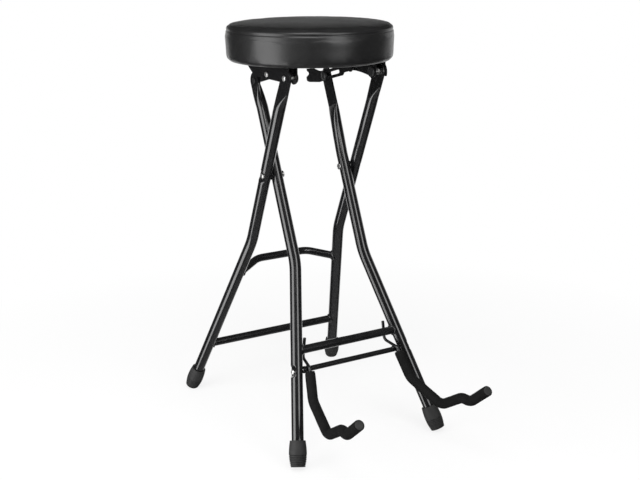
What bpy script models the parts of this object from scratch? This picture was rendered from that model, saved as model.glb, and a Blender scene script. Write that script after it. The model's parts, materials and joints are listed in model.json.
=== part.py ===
# Folding musician's stool with a swing-out instrument cradle.
# Two crossed tube frames carry a round padded seat, which tips up as the frames close.
# Metres, +Z up; the sitter faces -Y, where the cradle is; the floor is z = 0.
import math

import bmesh
import bpy
from mathutils import Matrix, Vector

# Clearances: between touching pieces, round pins, and how far a cutter runs past its work
SEAT_GAP = 0.0003
PIN_GAP = 0.0005
OVERRUN = 0.004

# Tubes and bars
TUBE_RADIUS = 0.0110
TUBE_WALL = 0.0012
LOWER_BAR_RADIUS = 0.0079
UPPER_BAR_RADIUS = 0.0077
FRONT_BAR_RADIUS = 0.0078
ROD_RADIUS = 0.0050

# Side view: both frames cross at one pivot and lean the same way
FOOT_REACH = 0.2155
PIVOT_RISE = 0.4831
OUTER_TOP = 0.2068
INNER_TOP = 0.1815

# Front view of the outer frame; drops are measured down the legs from the pivot
OUTER_FOOT_X = 0.1707
OUTER_UPPER_X = 0.0973
OUTER_BEND_DROP = 0.1542
LOWER_BAR_DROP = 0.4149
UPPER_BAR_DROP = 0.2313
UPPER_BAR_BULGE = 0.0320
UPPER_BAR_FLAT = 0.0560
UPPER_BAR_BEND = 0.0450

# Front view of the inner frame
INNER_FOOT_X = 0.1534
INNER_UPPER_X = 0.0740
INNER_BEND_DROP = 0.1685
ROD_DROP = 0.3631
FRONT_BAR_ABOVE_ROD = 0.0361

# Long easy bend of each leg, squeezed top ends, and the crimp that sinks a fastener's head
BEND_HALF_LENGTH = 0.0420
OUTER_EYE_HALF_WIDTH = 0.0168
OUTER_EYE_HALF_THICKNESS = 0.0015
OUTER_EYE_LENGTH = 0.0230
OUTER_EYE_OFFSET = -0.0009
OUTER_EYE_TAPER = 0.0280
INNER_EYE_HALF_WIDTH = 0.0160
INNER_EYE_HALF_THICKNESS = 0.0015
INNER_EYE_LENGTH = 0.0590
PLAIN_EYE_LENGTH = 0.0080
INNER_EYE_OFFSET = 0.0041
INNER_EYE_TAPER = 0.0180
CRIMP_DEPTH = 0.0048
CRIMP_HALF_LENGTH = 0.0060
CRIMP_RUN = 0.0070
EYE_END_SHARES = (0.45, 0.78, 0.95)
TAPER_SHARES = (0, 0.25, 0.5, 0.75, 1)
BEND_SHARES = (-1, -0.5, 0, 0.5, 1)
CRIMP_SHARES = (0, 0.5, 1)

# Rubber feet
FOOT_LENGTH = 0.0470
FOOT_SOLE = 0.0070
FOOT_TOP_RADIUS = 0.0142
FOOT_BELLY_RADIUS = 0.0162
FOOT_SOLE_RADIUS = 0.0131
FOOT_BELLY_HEIGHT = 0.0225
FOOT_GROOVE = 0.0007
FLOOR_FLAT = 0.0012
# Swell of the side above its widest ring: shares up and out; heights of the grooves below it
FOOT_SWELL_SHARES = ((0.70, 0.65), (0.35, 0.94))
FOOT_GROOVE_SHARES = (0.68, 0.36)

# Bolts through the crossing of the legs
CROSS_BOLT_RADIUS = 0.0038
CROSS_HEAD_RADIUS = 0.0052
CROSS_HEAD_HEIGHT = 0.0020
CROSS_NUT_RADIUS = 0.0062
CROSS_NUT_HEIGHT = 0.0024
WASHER_RADIUS = 0.0085

# Front pins, which the seat turns on
FRONT_PIN_RADIUS = 0.0038
FRONT_HEAD_RADIUS = 0.0052
FRONT_HEAD_HEIGHT = 0.0019
FRONT_NUT_RADIUS = 0.0068
FRONT_NUT_HEIGHT = 0.0042
FRONT_CAP_RADIUS = 0.0098
FRONT_CAP_HEIGHT = 0.0029
CAP_CRUST = 0.0012

# Rivets at the tops of the inner legs, link pins and rod screws
TOP_PIN_RADIUS = 0.0029
TOP_DOME_RADIUS = 0.0094
TOP_DOME_HEIGHT = 0.0040
TOP_TAIL_RADIUS = 0.0056
TOP_TAIL_HEIGHT = 0.0018
LINK_PIN_RADIUS = 0.0030
LINK_HEAD_RADIUS = 0.0050
LINK_HEAD_HEIGHT = 0.0019
ROD_SCREW_RADIUS = 0.0026
ROD_SCREW_HEAD_RADIUS = 0.0044
ROD_SCREW_HEAD_HEIGHT = 0.0026
ROD_SCREW_DEPTH = 0.0160
ROD_COLLAR_RADIUS = 0.0066
ROD_COLLAR_LENGTH = 0.0046
DOME_SHARES = (0, 0.45, 0.8)

# Seat brackets: channels that open downwards, one on each side
CHANNEL_WALL = 0.0024
CHANNEL_INSIDE = 0.0158
WALL_NOSE_RADIUS = 0.0197
WALL_NOSE_TOP = 0.0140
OUTER_WALL_DROP = 0.0074
OUTER_WALL_REAR = 0.1150
OUTER_WALL_TAIL = 0.1600
INNER_WALL_BOSS = 0.0118
INNER_WALL_ARCH = 0.0042
INNER_WALL_REAR = 0.1000
ARCH_SHARES = (0.12, 0.28, 0.5, 0.72, 0.88, 1.0)
BOSS_END = math.radians(42)
WEB_SCREW_RADIUS = 0.0024
WEB_SCREW_HEAD_RADIUS = 0.0046
WEB_SCREW_HEAD_HEIGHT = 0.0018
WEB_SCREW_PLACE_SHARES = (0.20, 0.92)

# Links from the bracket's pin to the inner leg's top; the right one locks, with a slot and a finger tab
LINK_THICKNESS = 0.0025
LINK_PIN_SPACING = 0.0660
LINK_EYE_RADIUS = 0.0070
LINK_EYE_STEPS = 10
LINK_NECK_HALF = 0.0049
LINK_NECK_LENGTH = 0.0250
LINK_BODY_HALF = 0.0093
LINK_BODY_CORNER = 0.0060
LINK_SLOT_HALF = 0.0034
LINK_SLOT_LENGTH = 0.0560
TAB_LENGTH = 0.0740
TAB_RISE = 0.0225
# Finger tab: shares of its length and of its rise, from the lower edge round to the upper one
TAB_SHARES = (
    (0.32, -0.45), (0.87, -0.20), (0.98, -0.06), (1.0, 0.10), (0.995, 0.30), (0.90, 0.40),
    (0.84, 0.50), (0.85, 0.66), (0.93, 0.80), (0.94, 1.0), (0.60, 0.90), (0.30, 0.52),
)

# Seat, heights measured from the underside of its board
SEAT_THICKNESS = 0.0662
SEAT_RISE = 0.0215
SEAT_SETBACK = 0.0020
COVER_WALL = 0.0014
BOARD_RADIUS = 0.1436
COVER_OVERHANG = 0.0096
BOARD_THICKNESS = 0.0090
COVER_HEM = 0.0012
SEAT_SEGMENTS = 36
# Outside of the cushion from the middle of its crown down to the hem: shares of radius and thickness
SEAT_SHARES = (
    (0, 1.0), (0.36, 0.999), (0.64, 0.996), (0.80, 0.991), (0.88, 0.983), (0.925, 0.972), (0.950, 0.957),
    (0.972, 0.925), (0.986, 0.875), (0.996, 0.790), (1.0, 0.650), (0.997, 0.540), (0.992, 0.440),
    (0.986, 0.280), (0.980, 0.110), (0.974, 0.020),
)

# Cradle: two bent wires, welded over a rod that turns between the inner legs
WIRE_RADIUS = 0.0029
SLEEVE_RADIUS = 0.0094
SLEEVE_TIP = 0.0045
ARM_INSET = 0.0220
ARM_TOE_OUT = math.radians(8.76)
ARM_SPLAY = 0.1068
ARM_REACH = 0.2358
ARM_DEPTH = 0.0748
WIRE_PITCH = math.radians(9)
PRONG_RISE = 0.0502
SHOULDER_AHEAD = 0.0094
# Corners of the padded run: shares of its reach ahead of the rod and of its depth
ARM_CORNER_SHARES = ((0.170, -0.614), (0.511, -1.0), (0.745, -0.531), (0.829, -0.552), (1.0, -0.092))
PRONG_BENDS = (0.0080, 0.0080)
ARM_BENDS = (0.0250, 0.0280, 0.0240, 0.0240)
TIP_SHARES = (0.5, 0.8, 0.96)

SIDES = ((-1, "left"), (1, "right"))
TUBE_SIDES = 16
PIN_SIDES = 14
WIRE_SIDES = 8
SLEEVE_SIDES = 12
BEND_STEPS = 4
SMOOTH_ANGLE = math.radians(35)

# Places worked out from the sizes above
LEAN = math.atan2(FOOT_REACH, PIVOT_RISE)
LEG_REACH = math.hypot(FOOT_REACH, PIVOT_RISE)
OUTER_SLOPE = (OUTER_UPPER_X - OUTER_FOOT_X) / (LEG_REACH - OUTER_BEND_DROP)
INNER_SLOPE = (INNER_UPPER_X - INNER_FOOT_X) / (LEG_REACH - INNER_BEND_DROP)
FRONT_BAR_DROP = ROD_DROP - FRONT_BAR_ABOVE_ROD
SEAT_RADIUS = BOARD_RADIUS + COVER_OVERHANG
FOOT_TILT = math.acos(math.cos(LEAN) * math.cos(math.atan(OUTER_SLOPE)))
PIVOT = Vector((0, 0, PIVOT_RISE + FOOT_SOLE_RADIUS * math.sin(FOOT_TILT) - FLOOR_FLAT))
FRONT_PIN = PIVOT + OUTER_TOP * Vector((0, -math.sin(LEAN), math.cos(LEAN)))
TOP_PIN = PIVOT + INNER_TOP * Vector((0, math.sin(LEAN), math.cos(LEAN)))
LINK_PIN = FRONT_PIN + Vector((0, LINK_PIN_SPACING, 0))
LINK_SPAN = (TOP_PIN - LINK_PIN).length
LINK_PITCH = math.atan2(TOP_PIN.z - LINK_PIN.z, TOP_PIN.y - LINK_PIN.y)
ROD_CENTRE = PIVOT - ROD_DROP * Vector((0, math.sin(LEAN), math.cos(LEAN)))
BAR_CENTRE = PIVOT - FRONT_BAR_DROP * Vector((0, math.sin(LEAN), math.cos(LEAN)))

# Layers of the seat's hinge, as distances from the middle of the stool
OUTER_EYE_OUT = OUTER_UPPER_X + OUTER_EYE_OFFSET + OUTER_EYE_HALF_THICKNESS
OUTER_EYE_IN = OUTER_UPPER_X + OUTER_EYE_OFFSET - OUTER_EYE_HALF_THICKNESS
OUTER_WALL_IN = OUTER_EYE_OUT + SEAT_GAP
OUTER_WALL_OUT = OUTER_WALL_IN + CHANNEL_WALL
INNER_WALL_OUT = OUTER_WALL_IN - CHANNEL_INSIDE
INNER_WALL_IN = INNER_WALL_OUT - CHANNEL_WALL
INNER_EYE_OUT = INNER_UPPER_X + INNER_EYE_OFFSET + INNER_EYE_HALF_THICKNESS
INNER_EYE_IN = INNER_UPPER_X + INNER_EYE_OFFSET - INNER_EYE_HALF_THICKNESS
LINK_OUT = INNER_EYE_IN - SEAT_GAP
LINK_IN = LINK_OUT - LINK_THICKNESS
WEB_TOP = SEAT_RISE - SEAT_GAP


def clear_scene():
    for item in list(bpy.data.objects):
        bpy.data.objects.remove(item, do_unlink=True)


def material(name, colour, roughness, metallic):
    made = bpy.data.materials.new(name)
    made.use_nodes = True
    surface = made.node_tree.nodes["Principled BSDF"]
    surface.inputs["Base Color"].default_value = (*colour, 1.0)
    surface.inputs["Roughness"].default_value = roughness
    surface.inputs["Metallic"].default_value = metallic
    made.diffuse_color = (*colour, 1.0)
    return made


def add_empty(name, location, tilt=0.0):
    empty = bpy.data.objects.new(name, None)
    bpy.context.collection.objects.link(empty)
    empty.location = location
    empty.rotation_euler = (tilt, 0, 0)
    return empty


def add_object(name, bm, finish, parent, location=(0, 0, 0), rotation=(0, 0, 0)):
    mesh = bpy.data.meshes.new(name)
    bm.to_mesh(mesh)
    bm.free()
    mesh.shade_smooth()
    mesh.set_sharp_from_angle(angle=SMOOTH_ANGLE)
    made = bpy.data.objects.new(name, mesh)
    bpy.context.collection.objects.link(made)
    if finish is not None:
        mesh.materials.append(finish)
    made.parent = parent
    made.location = location
    made.rotation_euler = rotation
    return made


def boolean(target, bm, parent, location=(0, 0, 0), rotation=(0, 0, 0), operation="DIFFERENCE"):
    tool = add_object(target.name + "_tool", bm, None, parent, location, rotation)
    tool.hide_render = True
    tool.display_type = "WIRE"
    modifier = target.modifiers.new(tool.name, "BOOLEAN")
    modifier.operation = operation
    modifier.solver = "EXACT"
    modifier.object = tool


def loft(rings, flip=False):
    # Joins rings of equal point count in order and closes both ends.
    bm = bmesh.new()
    made = [[bm.verts.new(point) for point in ring] for ring in rings]
    count = len(rings[0])
    faces = [tuple(reversed(made[0])), tuple(made[-1])]
    for lower, upper in zip(made, made[1:]):
        for k in range(count):
            after = (k + 1) % count
            faces.append((lower[k], lower[after], upper[after], upper[k]))
    for corners in faces:
        bm.faces.new(tuple(reversed(corners)) if flip else corners)
    return bm


def turned(outline, segments=PIN_SIDES):
    # Spins (radius, height) points about Z; they run down the outer side and start and end on the axis.
    bm = bmesh.new()
    rings = []
    for radius, height in outline:
        count = segments if radius else 1
        turns = [2 * math.pi * k / segments for k in range(count)]
        rings.append([bm.verts.new((radius * math.cos(t), radius * math.sin(t), height)) for t in turns])
    for upper, lower in zip(rings, rings[1:]):
        for k in range(segments):
            after = (k + 1) % segments
            if len(upper) == 1:
                bm.faces.new((upper[0], lower[k], lower[after]))
            elif len(lower) == 1:
                bm.faces.new((upper[k], lower[0], upper[after]))
            else:
                bm.faces.new((upper[k], lower[k], lower[after], upper[after]))
    return bm


def cylinder(radius, length, sides=PIN_SIDES, along_x=True):
    half = length / 2
    bm = turned([(0, half), (radius, half), (radius, -half), (0, -half)], sides)
    if along_x:
        bmesh.ops.rotate(bm, verts=bm.verts, matrix=Matrix.Rotation(math.pi / 2, 3, "Y"))
    return bm


def plate(outline, start, stop, side):
    # A flat plate of (y, z) points, anticlockwise seen from +X, between two distances from the middle.
    rings = [[Vector((side * x, y, z)) for y, z in outline] for x in (start, stop)]
    return loft(rings, flip=side < 0)


def arc(centre, radius, start, stop, steps):
    turns = [start + (stop - start) * k / steps for k in range(steps + 1)]
    return [(centre[0] + radius * math.cos(t), centre[1] + radius * math.sin(t)) for t in turns]


def rounded(corners, radii):
    # A flat path through corner points, each inner corner replaced by an arc of its own radius.
    path = [Vector(corners[0])]
    for before, corner, after, radius in zip(corners, corners[1:], corners[2:], radii):
        here = Vector(corner)
        back = (Vector(before) - here).normalized()
        ahead = (Vector(after) - here).normalized()
        half = back.angle(ahead) / 2
        middle = here + (back + ahead).normalized() * radius / math.sin(half)
        start = here + back * radius / math.tan(half) - middle
        stop = here + ahead * radius / math.tan(half) - middle
        first = math.atan2(start.y, start.x)
        sweep = (math.atan2(stop.y, stop.x) - first + math.pi) % (2 * math.pi) - math.pi
        path += [Vector(point) for point in arc(middle, radius, first, first + sweep, BEND_STEPS)]
    path.append(Vector(corners[-1]))
    return path


def frames_along(path, normal):
    # Place, two cross directions and tangent at each point of a path in a plane with this normal.
    frames = []
    for k, point in enumerate(path):
        tangent = (path[min(k + 1, len(path) - 1)] - path[max(k - 1, 0)]).normalized()
        side = normal.cross(tangent).normalized()
        frames.append((point, side, tangent.cross(side), tangent))
    return frames


def ring_at(frame, radius, sides):
    point, side, over, tangent = frame
    turns = [2 * math.pi * k / sides for k in range(sides)]
    return [point + radius * (math.cos(t) * side + math.sin(t) * over) for t in turns]


def cut_hole(target, parent, centre, radius, length):
    boolean(target, cylinder(radius, length), parent, centre)


# Legs

OUTER_LEG = {
    "foot_x": OUTER_FOOT_X,
    "upper_x": OUTER_UPPER_X,
    "slope": OUTER_SLOPE,
    "bend_drop": OUTER_BEND_DROP,
    "top": OUTER_TOP,
    "eye_length": OUTER_EYE_LENGTH,
    "eye_half_width": OUTER_EYE_HALF_WIDTH,
    "eye_half_thickness": OUTER_EYE_HALF_THICKNESS,
    "eye_offset": OUTER_EYE_OFFSET,
    "eye_taper": OUTER_EYE_TAPER,
    "crimp": 0.0,
}
INNER_LEG = {
    "foot_x": INNER_FOOT_X,
    "upper_x": INNER_UPPER_X,
    "slope": INNER_SLOPE,
    "bend_drop": INNER_BEND_DROP,
    "top": INNER_TOP,
    "eye_length": INNER_EYE_LENGTH,
    "eye_half_width": INNER_EYE_HALF_WIDTH,
    "eye_half_thickness": INNER_EYE_HALF_THICKNESS,
    "eye_offset": INNER_EYE_OFFSET,
    "eye_taper": INNER_EYE_TAPER,
    "crimp": -ROD_DROP,
}
# The leg beside the plain link has no finger tab to clear, so its eye is short
PLAIN_INNER_LEG = {**INNER_LEG, "eye_length": PLAIN_EYE_LENGTH}


def leg_line(leg, z):
    # The leg's distance from the middle of the stool and its slope there: straight, bend, straight.
    low = z + leg["bend_drop"] + BEND_HALF_LENGTH
    if low <= 0:
        return leg["upper_x"] + leg["slope"] * (z + leg["bend_drop"]), leg["slope"]
    left = max(2 * BEND_HALF_LENGTH - low, 0)
    ease = left / (2 * BEND_HALF_LENGTH)
    return leg["upper_x"] - leg["slope"] * ease * left / 2, leg["slope"] * ease


def smooth_step(value):
    held = min(max(value, 0), 1)
    return held * held * (3 - 2 * held)


def leg_section(leg, z, radius):
    # One cross-section: round, crimped where a fastener's head sinks in, flat at the eye.
    x, slope = leg_line(leg, z)
    outward = Vector((1, 0, -slope)).normalized()
    flat = smooth_step((z - leg["top"] + leg["eye_length"] + leg["eye_taper"]) / leg["eye_taper"])
    crimp = smooth_step((CRIMP_HALF_LENGTH + CRIMP_RUN - abs(z - leg["crimp"])) / CRIMP_RUN)
    limit = radius - CRIMP_DEPTH * crimp
    half_width = math.sqrt(leg["eye_half_width"] ** 2 - max(z - leg["top"], 0) ** 2)
    ring = []
    for k in range(TUBE_SIDES):
        turn = 2 * math.pi * (k + 0.5) / TUBE_SIDES
        round_out = min(radius * math.cos(turn), limit)
        flat_out = leg["eye_offset"] + math.copysign(leg["eye_half_thickness"], math.cos(turn))
        out = round_out + (flat_out - round_out) * flat
        across = (radius + (half_width - radius) * flat) * math.sin(turn)
        ring.append(Vector((x, 0, z)) + outward * out + Vector((0, across, 0)))
    return ring


def leg_places(leg, low, high):
    taper_low = leg["top"] - leg["eye_length"] - leg["eye_taper"]
    places = {low, high, leg["top"]}
    places |= {-leg["bend_drop"] + share * BEND_HALF_LENGTH for share in BEND_SHARES}
    places |= {taper_low + share * leg["eye_taper"] for share in TAPER_SHARES}
    places |= {leg["top"] + share * leg["eye_half_width"] for share in EYE_END_SHARES}
    for share in CRIMP_SHARES:
        reach = CRIMP_HALF_LENGTH + share * CRIMP_RUN
        places |= {leg["crimp"] - reach, leg["crimp"] + reach}
    return sorted(place for place in places if low <= place <= high)


def add_leg(name, side, leg, frame, finish, holes):
    # A tube bored blind from its foot, so the rings run up inside it and then up outside.
    low = -LEG_REACH + (FOOT_SOLE + SEAT_GAP) * math.cos(math.atan(leg["slope"]))
    high = leg["top"] + EYE_END_SHARES[-1] * leg["eye_half_width"]
    bore_top = leg["top"] - leg["eye_length"] - leg["eye_taper"] - TUBE_RADIUS
    rings = [leg_section(leg, z, TUBE_RADIUS - TUBE_WALL) for z in reversed(leg_places(leg, low, bore_top))]
    rings += [leg_section(leg, z, TUBE_RADIUS) for z in leg_places(leg, low, high)]
    mirror = Matrix.Diagonal((side, 1, 1))
    bm = loft([[mirror @ point for point in ring] for ring in rings], flip=side < 0)
    made = add_object(name, bm, finish, frame)
    for z, radius in holes:
        cut_hole(made, frame, (side * leg_line(leg, z)[0], 0, z), radius, 2 * (TUBE_RADIUS + OVERRUN))
    return made


# Feet

def foot_outline():
    # The socket's floor and wall, the rim, the swelling side with its grooves, and the sole.
    bore = TUBE_RADIUS + SEAT_GAP
    outline = [(0, FOOT_SOLE), (bore, FOOT_SOLE), (bore, FOOT_LENGTH), (FOOT_TOP_RADIUS, FOOT_LENGTH)]
    for up, out in FOOT_SWELL_SHARES:
        outline.append((FOOT_TOP_RADIUS + out * (FOOT_BELLY_RADIUS - FOOT_TOP_RADIUS),
                        FOOT_BELLY_HEIGHT + up * (FOOT_LENGTH - FOOT_BELLY_HEIGHT)))
    outline.append((FOOT_BELLY_RADIUS, FOOT_BELLY_HEIGHT))
    for share in FOOT_GROOVE_SHARES:
        height = share * FOOT_BELLY_HEIGHT
        draw = math.sin(math.pi / 2 * share)
        radius = FOOT_SOLE_RADIUS + (FOOT_BELLY_RADIUS - FOOT_SOLE_RADIUS) * draw
        outline += [(radius, height + FOOT_GROOVE), (radius - FOOT_GROOVE, height)]
        outline.append((radius, height - FOOT_GROOVE))
    outline += [(FOOT_SOLE_RADIUS, 0), (0, 0)]
    return outline


def add_foot(name, side, leg, frame, finish):
    # A ferrule square to its leg, cut flat where it stands.
    foot = add_object(name, turned(foot_outline(), TUBE_SIDES), finish, frame,
                      (side * leg["foot_x"], 0, -LEG_REACH), (0, side * math.atan(leg["slope"]), 0))
    below = cylinder(2 * FOOT_LENGTH, FOOT_LENGTH, along_x=False)
    reach = math.copysign(FOOT_REACH, frame.rotation_euler.x)
    boolean(foot, below, None, (side * leg["foot_x"], reach, -FOOT_LENGTH / 2))


# Cross bars

def cope_ends(bar, leg, drop, frame):
    # Shapes both ends of a bar to the round of the legs that it is welded to.
    x, slope = leg_line(leg, -drop)
    length = 2 * (TUBE_RADIUS + UPPER_BAR_BULGE)
    for side, _ in SIDES:
        tool = cylinder(TUBE_RADIUS + SEAT_GAP, length, TUBE_SIDES, along_x=False)
        boolean(bar, tool, frame, (side * x, 0, -drop), (0, side * math.atan(slope), 0))


def add_straight_bar(name, leg, drop, radius, frame, finish):
    x = leg_line(leg, -drop)[0]
    bar = add_object(name, cylinder(radius, 2 * x), finish, frame, (0, 0, -drop))
    cope_ends(bar, leg, drop, frame)


def add_bulged_bar(name, leg, drop, radius, frame, finish):
    # Swings back between the legs, which leaves room for the inner frame to fold.
    x = leg_line(leg, -drop)[0]
    corners = [(-x, 0), (-UPPER_BAR_FLAT, UPPER_BAR_BULGE), (UPPER_BAR_FLAT, UPPER_BAR_BULGE), (x, 0)]
    path = [point.to_3d() for point in rounded(corners, (UPPER_BAR_BEND, UPPER_BAR_BEND))]
    rings = [ring_at(place, radius, PIN_SIDES) for place in frames_along(path, Vector((0, 0, 1)))]
    bar = add_object(name, loft(rings), finish, frame, (0, 0, -drop))
    cope_ends(bar, leg, drop, frame)


# Fasteners: outlines in (radius, distance from the middle of the stool), turned about X

def dome(radius, height, start, direction):
    # The points of a low round head from its rim to its crown.
    rim = [(radius * math.sqrt(1 - share ** 2), start + direction * height * share) for share in DOME_SHARES]
    return rim + [(0, start + direction * height)]


def headed_pin(radius, inner_end, head_radius, head_height, head_start):
    # A shank with a domed head at its outer end.
    head = list(reversed(dome(head_radius, head_height, head_start, 1)))
    return head + [(radius, head_start), (radius, inner_end), (0, inner_end)]


def add_pin(name, side, outline, frame, place, finish):
    return add_object(name, turned(outline), finish, frame, place, (0, side * math.pi / 2, 0))


def add_ring(name, side, radii, start, stop, frame, place, finish, sides=PIN_SIDES):
    # A washer, nut or collar between two distances from the middle of the stool.
    bore, rim = radii
    centre = Vector(place) + Vector((side * (start + stop) / 2, 0, 0))
    ring = add_object(name, cylinder(rim, stop - start, sides), finish, frame, centre)
    cut_hole(ring, frame, centre, bore, stop - start + OVERRUN)


def add_cross_bolt(tag, side, frame, finishes):
    # One bolt on each side holds the crossing legs; its head sinks into the outer leg's crimp.
    head_start = OUTER_UPPER_X + TUBE_RADIUS - CRIMP_DEPTH + SEAT_GAP
    nut_start = INNER_UPPER_X - TUBE_RADIUS - SEAT_GAP - CROSS_NUT_HEIGHT
    bolt = headed_pin(CROSS_BOLT_RADIUS, nut_start, CROSS_HEAD_RADIUS, CROSS_HEAD_HEIGHT, head_start)
    add_pin("cross_bolt_" + tag, side, bolt, frame, (0, 0, 0), finishes["steel"])
    add_ring("cross_nut_" + tag, side, (CROSS_BOLT_RADIUS + SEAT_GAP, CROSS_NUT_RADIUS),
             nut_start, nut_start + CROSS_NUT_HEIGHT, frame, (0, 0, 0), finishes["steel"], sides=6)
    add_ring("cross_washer_" + tag, side, (CROSS_BOLT_RADIUS + SEAT_GAP, WASHER_RADIUS),
             INNER_UPPER_X + TUBE_RADIUS + SEAT_GAP, OUTER_UPPER_X - TUBE_RADIUS - SEAT_GAP,
             frame, (0, 0, 0), finishes["plastic"])


def add_front_pin(tag, side, seat, finishes):
    # Bracket wall, leg eye and nut are clamped by the head; a cap closes the pin inside the channel.
    cap_out = INNER_WALL_IN - SEAT_GAP
    cap_in = cap_out - FRONT_CAP_HEIGHT
    end = cap_in + CAP_CRUST + SEAT_GAP
    pin = headed_pin(FRONT_PIN_RADIUS, end, FRONT_HEAD_RADIUS, FRONT_HEAD_HEIGHT, OUTER_WALL_OUT + SEAT_GAP)
    add_pin("front_pin_" + tag, side, pin, seat, (0, 0, 0), finishes["steel"])
    nut_out = OUTER_EYE_IN - SEAT_GAP
    add_ring("front_nut_" + tag, side, (FRONT_PIN_RADIUS + SEAT_GAP, FRONT_NUT_RADIUS),
             nut_out - FRONT_NUT_HEIGHT, nut_out, seat, (0, 0, 0), finishes["steel"], sides=6)
    bore = FRONT_PIN_RADIUS + SEAT_GAP
    cap = [(0, cap_in + CAP_CRUST), (bore, cap_in + CAP_CRUST), (bore, cap_out), (FRONT_CAP_RADIUS, cap_out)]
    cap += [(FRONT_CAP_RADIUS, cap_in + CAP_CRUST), (FRONT_CAP_RADIUS - CAP_CRUST, cap_in), (0, cap_in)]
    add_pin("front_cap_" + tag, side, cap, seat, (0, 0, 0), finishes["plastic"])


def add_link_pin(tag, side, seat, finishes):
    pin = headed_pin(LINK_PIN_RADIUS, LINK_OUT + SEAT_GAP, LINK_HEAD_RADIUS, LINK_HEAD_HEIGHT,
                     OUTER_WALL_OUT + SEAT_GAP)
    add_pin("link_pin_" + tag, side, pin, seat, (0, LINK_PIN_SPACING, 0), finishes["steel"])


def add_top_rivet(tag, side, frame, finishes):
    # A flat tail outside the leg's eye, a wide dome on the link.
    tail = INNER_EYE_OUT + SEAT_GAP
    dome_start = LINK_IN - SEAT_GAP
    rivet = [(0, tail + TOP_TAIL_HEIGHT), (TOP_TAIL_RADIUS, tail + TOP_TAIL_HEIGHT), (TOP_TAIL_RADIUS, tail)]
    rivet += [(TOP_PIN_RADIUS, tail), (TOP_PIN_RADIUS, dome_start)]
    rivet += dome(TOP_DOME_RADIUS, TOP_DOME_HEIGHT, dome_start, -1)
    add_pin("link_rivet_" + tag, side, rivet, frame, (0, 0, INNER_TOP), finishes["plastic"])


def add_rod_screw(tag, side, frame, finishes):
    # Its head lies in the inner leg's crimp and its shank reaches into the rod.
    lean = math.atan(INNER_SLOPE)
    flat = (TUBE_RADIUS - CRIMP_DEPTH + SEAT_GAP) / math.cos(lean)
    head_start = leg_line(INNER_LEG, -ROD_DROP)[0] + flat + ROD_SCREW_HEAD_RADIUS * math.tan(abs(lean))
    end = rod_half_length() - ROD_SCREW_DEPTH
    screw = headed_pin(ROD_SCREW_RADIUS, end, ROD_SCREW_HEAD_RADIUS, ROD_SCREW_HEAD_HEIGHT, head_start)
    add_pin("rod_screw_" + tag, side, screw, frame, (0, 0, -ROD_DROP), finishes["steel"])


# Seat brackets

def outer_wall_outline():
    # A nose round the front pin, a straight lower edge and a rear end that slopes up to the board.
    low = math.asin(OUTER_WALL_DROP / WALL_NOSE_RADIUS)
    high = math.asin(WALL_NOSE_TOP / WALL_NOSE_RADIUS)
    nose = arc((0, 0), WALL_NOSE_RADIUS, math.pi - high, math.pi + low, 6)
    front = nose[0][0]
    return [(front, WEB_TOP)] + nose + [(OUTER_WALL_REAR, -OUTER_WALL_DROP), (OUTER_WALL_TAIL, WEB_TOP)]


def inner_wall_outline():
    # A boss round the front pin, then a lower edge that arches up between the boss and the rear end.
    boss = arc((0, 0), INNER_WALL_BOSS, math.pi, 2 * math.pi - BOSS_END, 8)
    start, drop = boss[-1]
    outline = [(-INNER_WALL_BOSS, WEB_TOP)] + boss
    for share in ARCH_SHARES:
        rise = INNER_WALL_ARCH * math.sin(math.pi * share)
        y = start + share * (INNER_WALL_REAR - start)
        outline.append((y, drop + rise))
    return outline + [(INNER_WALL_REAR, WEB_TOP)]


def web_screw_places(side):
    x = (INNER_WALL_OUT + OUTER_WALL_IN) / 2
    return [(side * x, share * INNER_WALL_REAR, 0) for share in WEB_SCREW_PLACE_SHARES]


def add_bracket(tag, side, seat, finishes):
    # Two walls and the web between them, pierced for both pins and for the screws into the board.
    outer = plate(outer_wall_outline(), OUTER_WALL_IN, OUTER_WALL_OUT, side)
    bracket = add_object("bracket_" + tag, outer, finishes["frame"], seat)
    inner = plate(inner_wall_outline(), INNER_WALL_IN, INNER_WALL_OUT, side)
    boolean(bracket, inner, seat, operation="UNION")
    front = -INNER_WALL_BOSS
    web_low = WEB_TOP - CHANNEL_WALL
    web = [(front, web_low), (INNER_WALL_REAR, web_low), (INNER_WALL_REAR, WEB_TOP), (front, WEB_TOP)]
    boolean(bracket, plate(web, INNER_WALL_IN, OUTER_WALL_OUT, side), seat, operation="UNION")
    middle = side * (INNER_WALL_IN + OUTER_WALL_OUT) / 2
    span = OUTER_WALL_OUT - INNER_WALL_IN + OVERRUN
    cut_hole(bracket, seat, (middle, 0, 0), FRONT_PIN_RADIUS + SEAT_GAP, span)
    cut_hole(bracket, seat, (middle, LINK_PIN_SPACING, 0), LINK_PIN_RADIUS + SEAT_GAP, span)
    for x, y, z in web_screw_places(side):
        tool = cylinder(WEB_SCREW_RADIUS + SEAT_GAP, CHANNEL_WALL + OVERRUN, along_x=False)
        boolean(bracket, tool, seat, (x, y, WEB_TOP - CHANNEL_WALL / 2))


def add_bracket_screws(tag, side, seat, finishes):
    # Wood screws up through the web; each is its own piece.
    head = WEB_TOP - CHANNEL_WALL - SEAT_GAP
    top = SEAT_RISE + BOARD_THICKNESS - CHANNEL_WALL
    outline = [(0, top), (WEB_SCREW_RADIUS, top), (WEB_SCREW_RADIUS, head)]
    outline += dome(WEB_SCREW_HEAD_RADIUS, WEB_SCREW_HEAD_HEIGHT, head, -1)
    for number, (x, y, z) in enumerate(web_screw_places(side), 1):
        name = "bracket_screw_" + tag + "_" + str(number)
        add_object(name, turned(outline, SLEEVE_SIDES), finishes["steel"], seat, (x, y, z))


# Lock links

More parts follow.
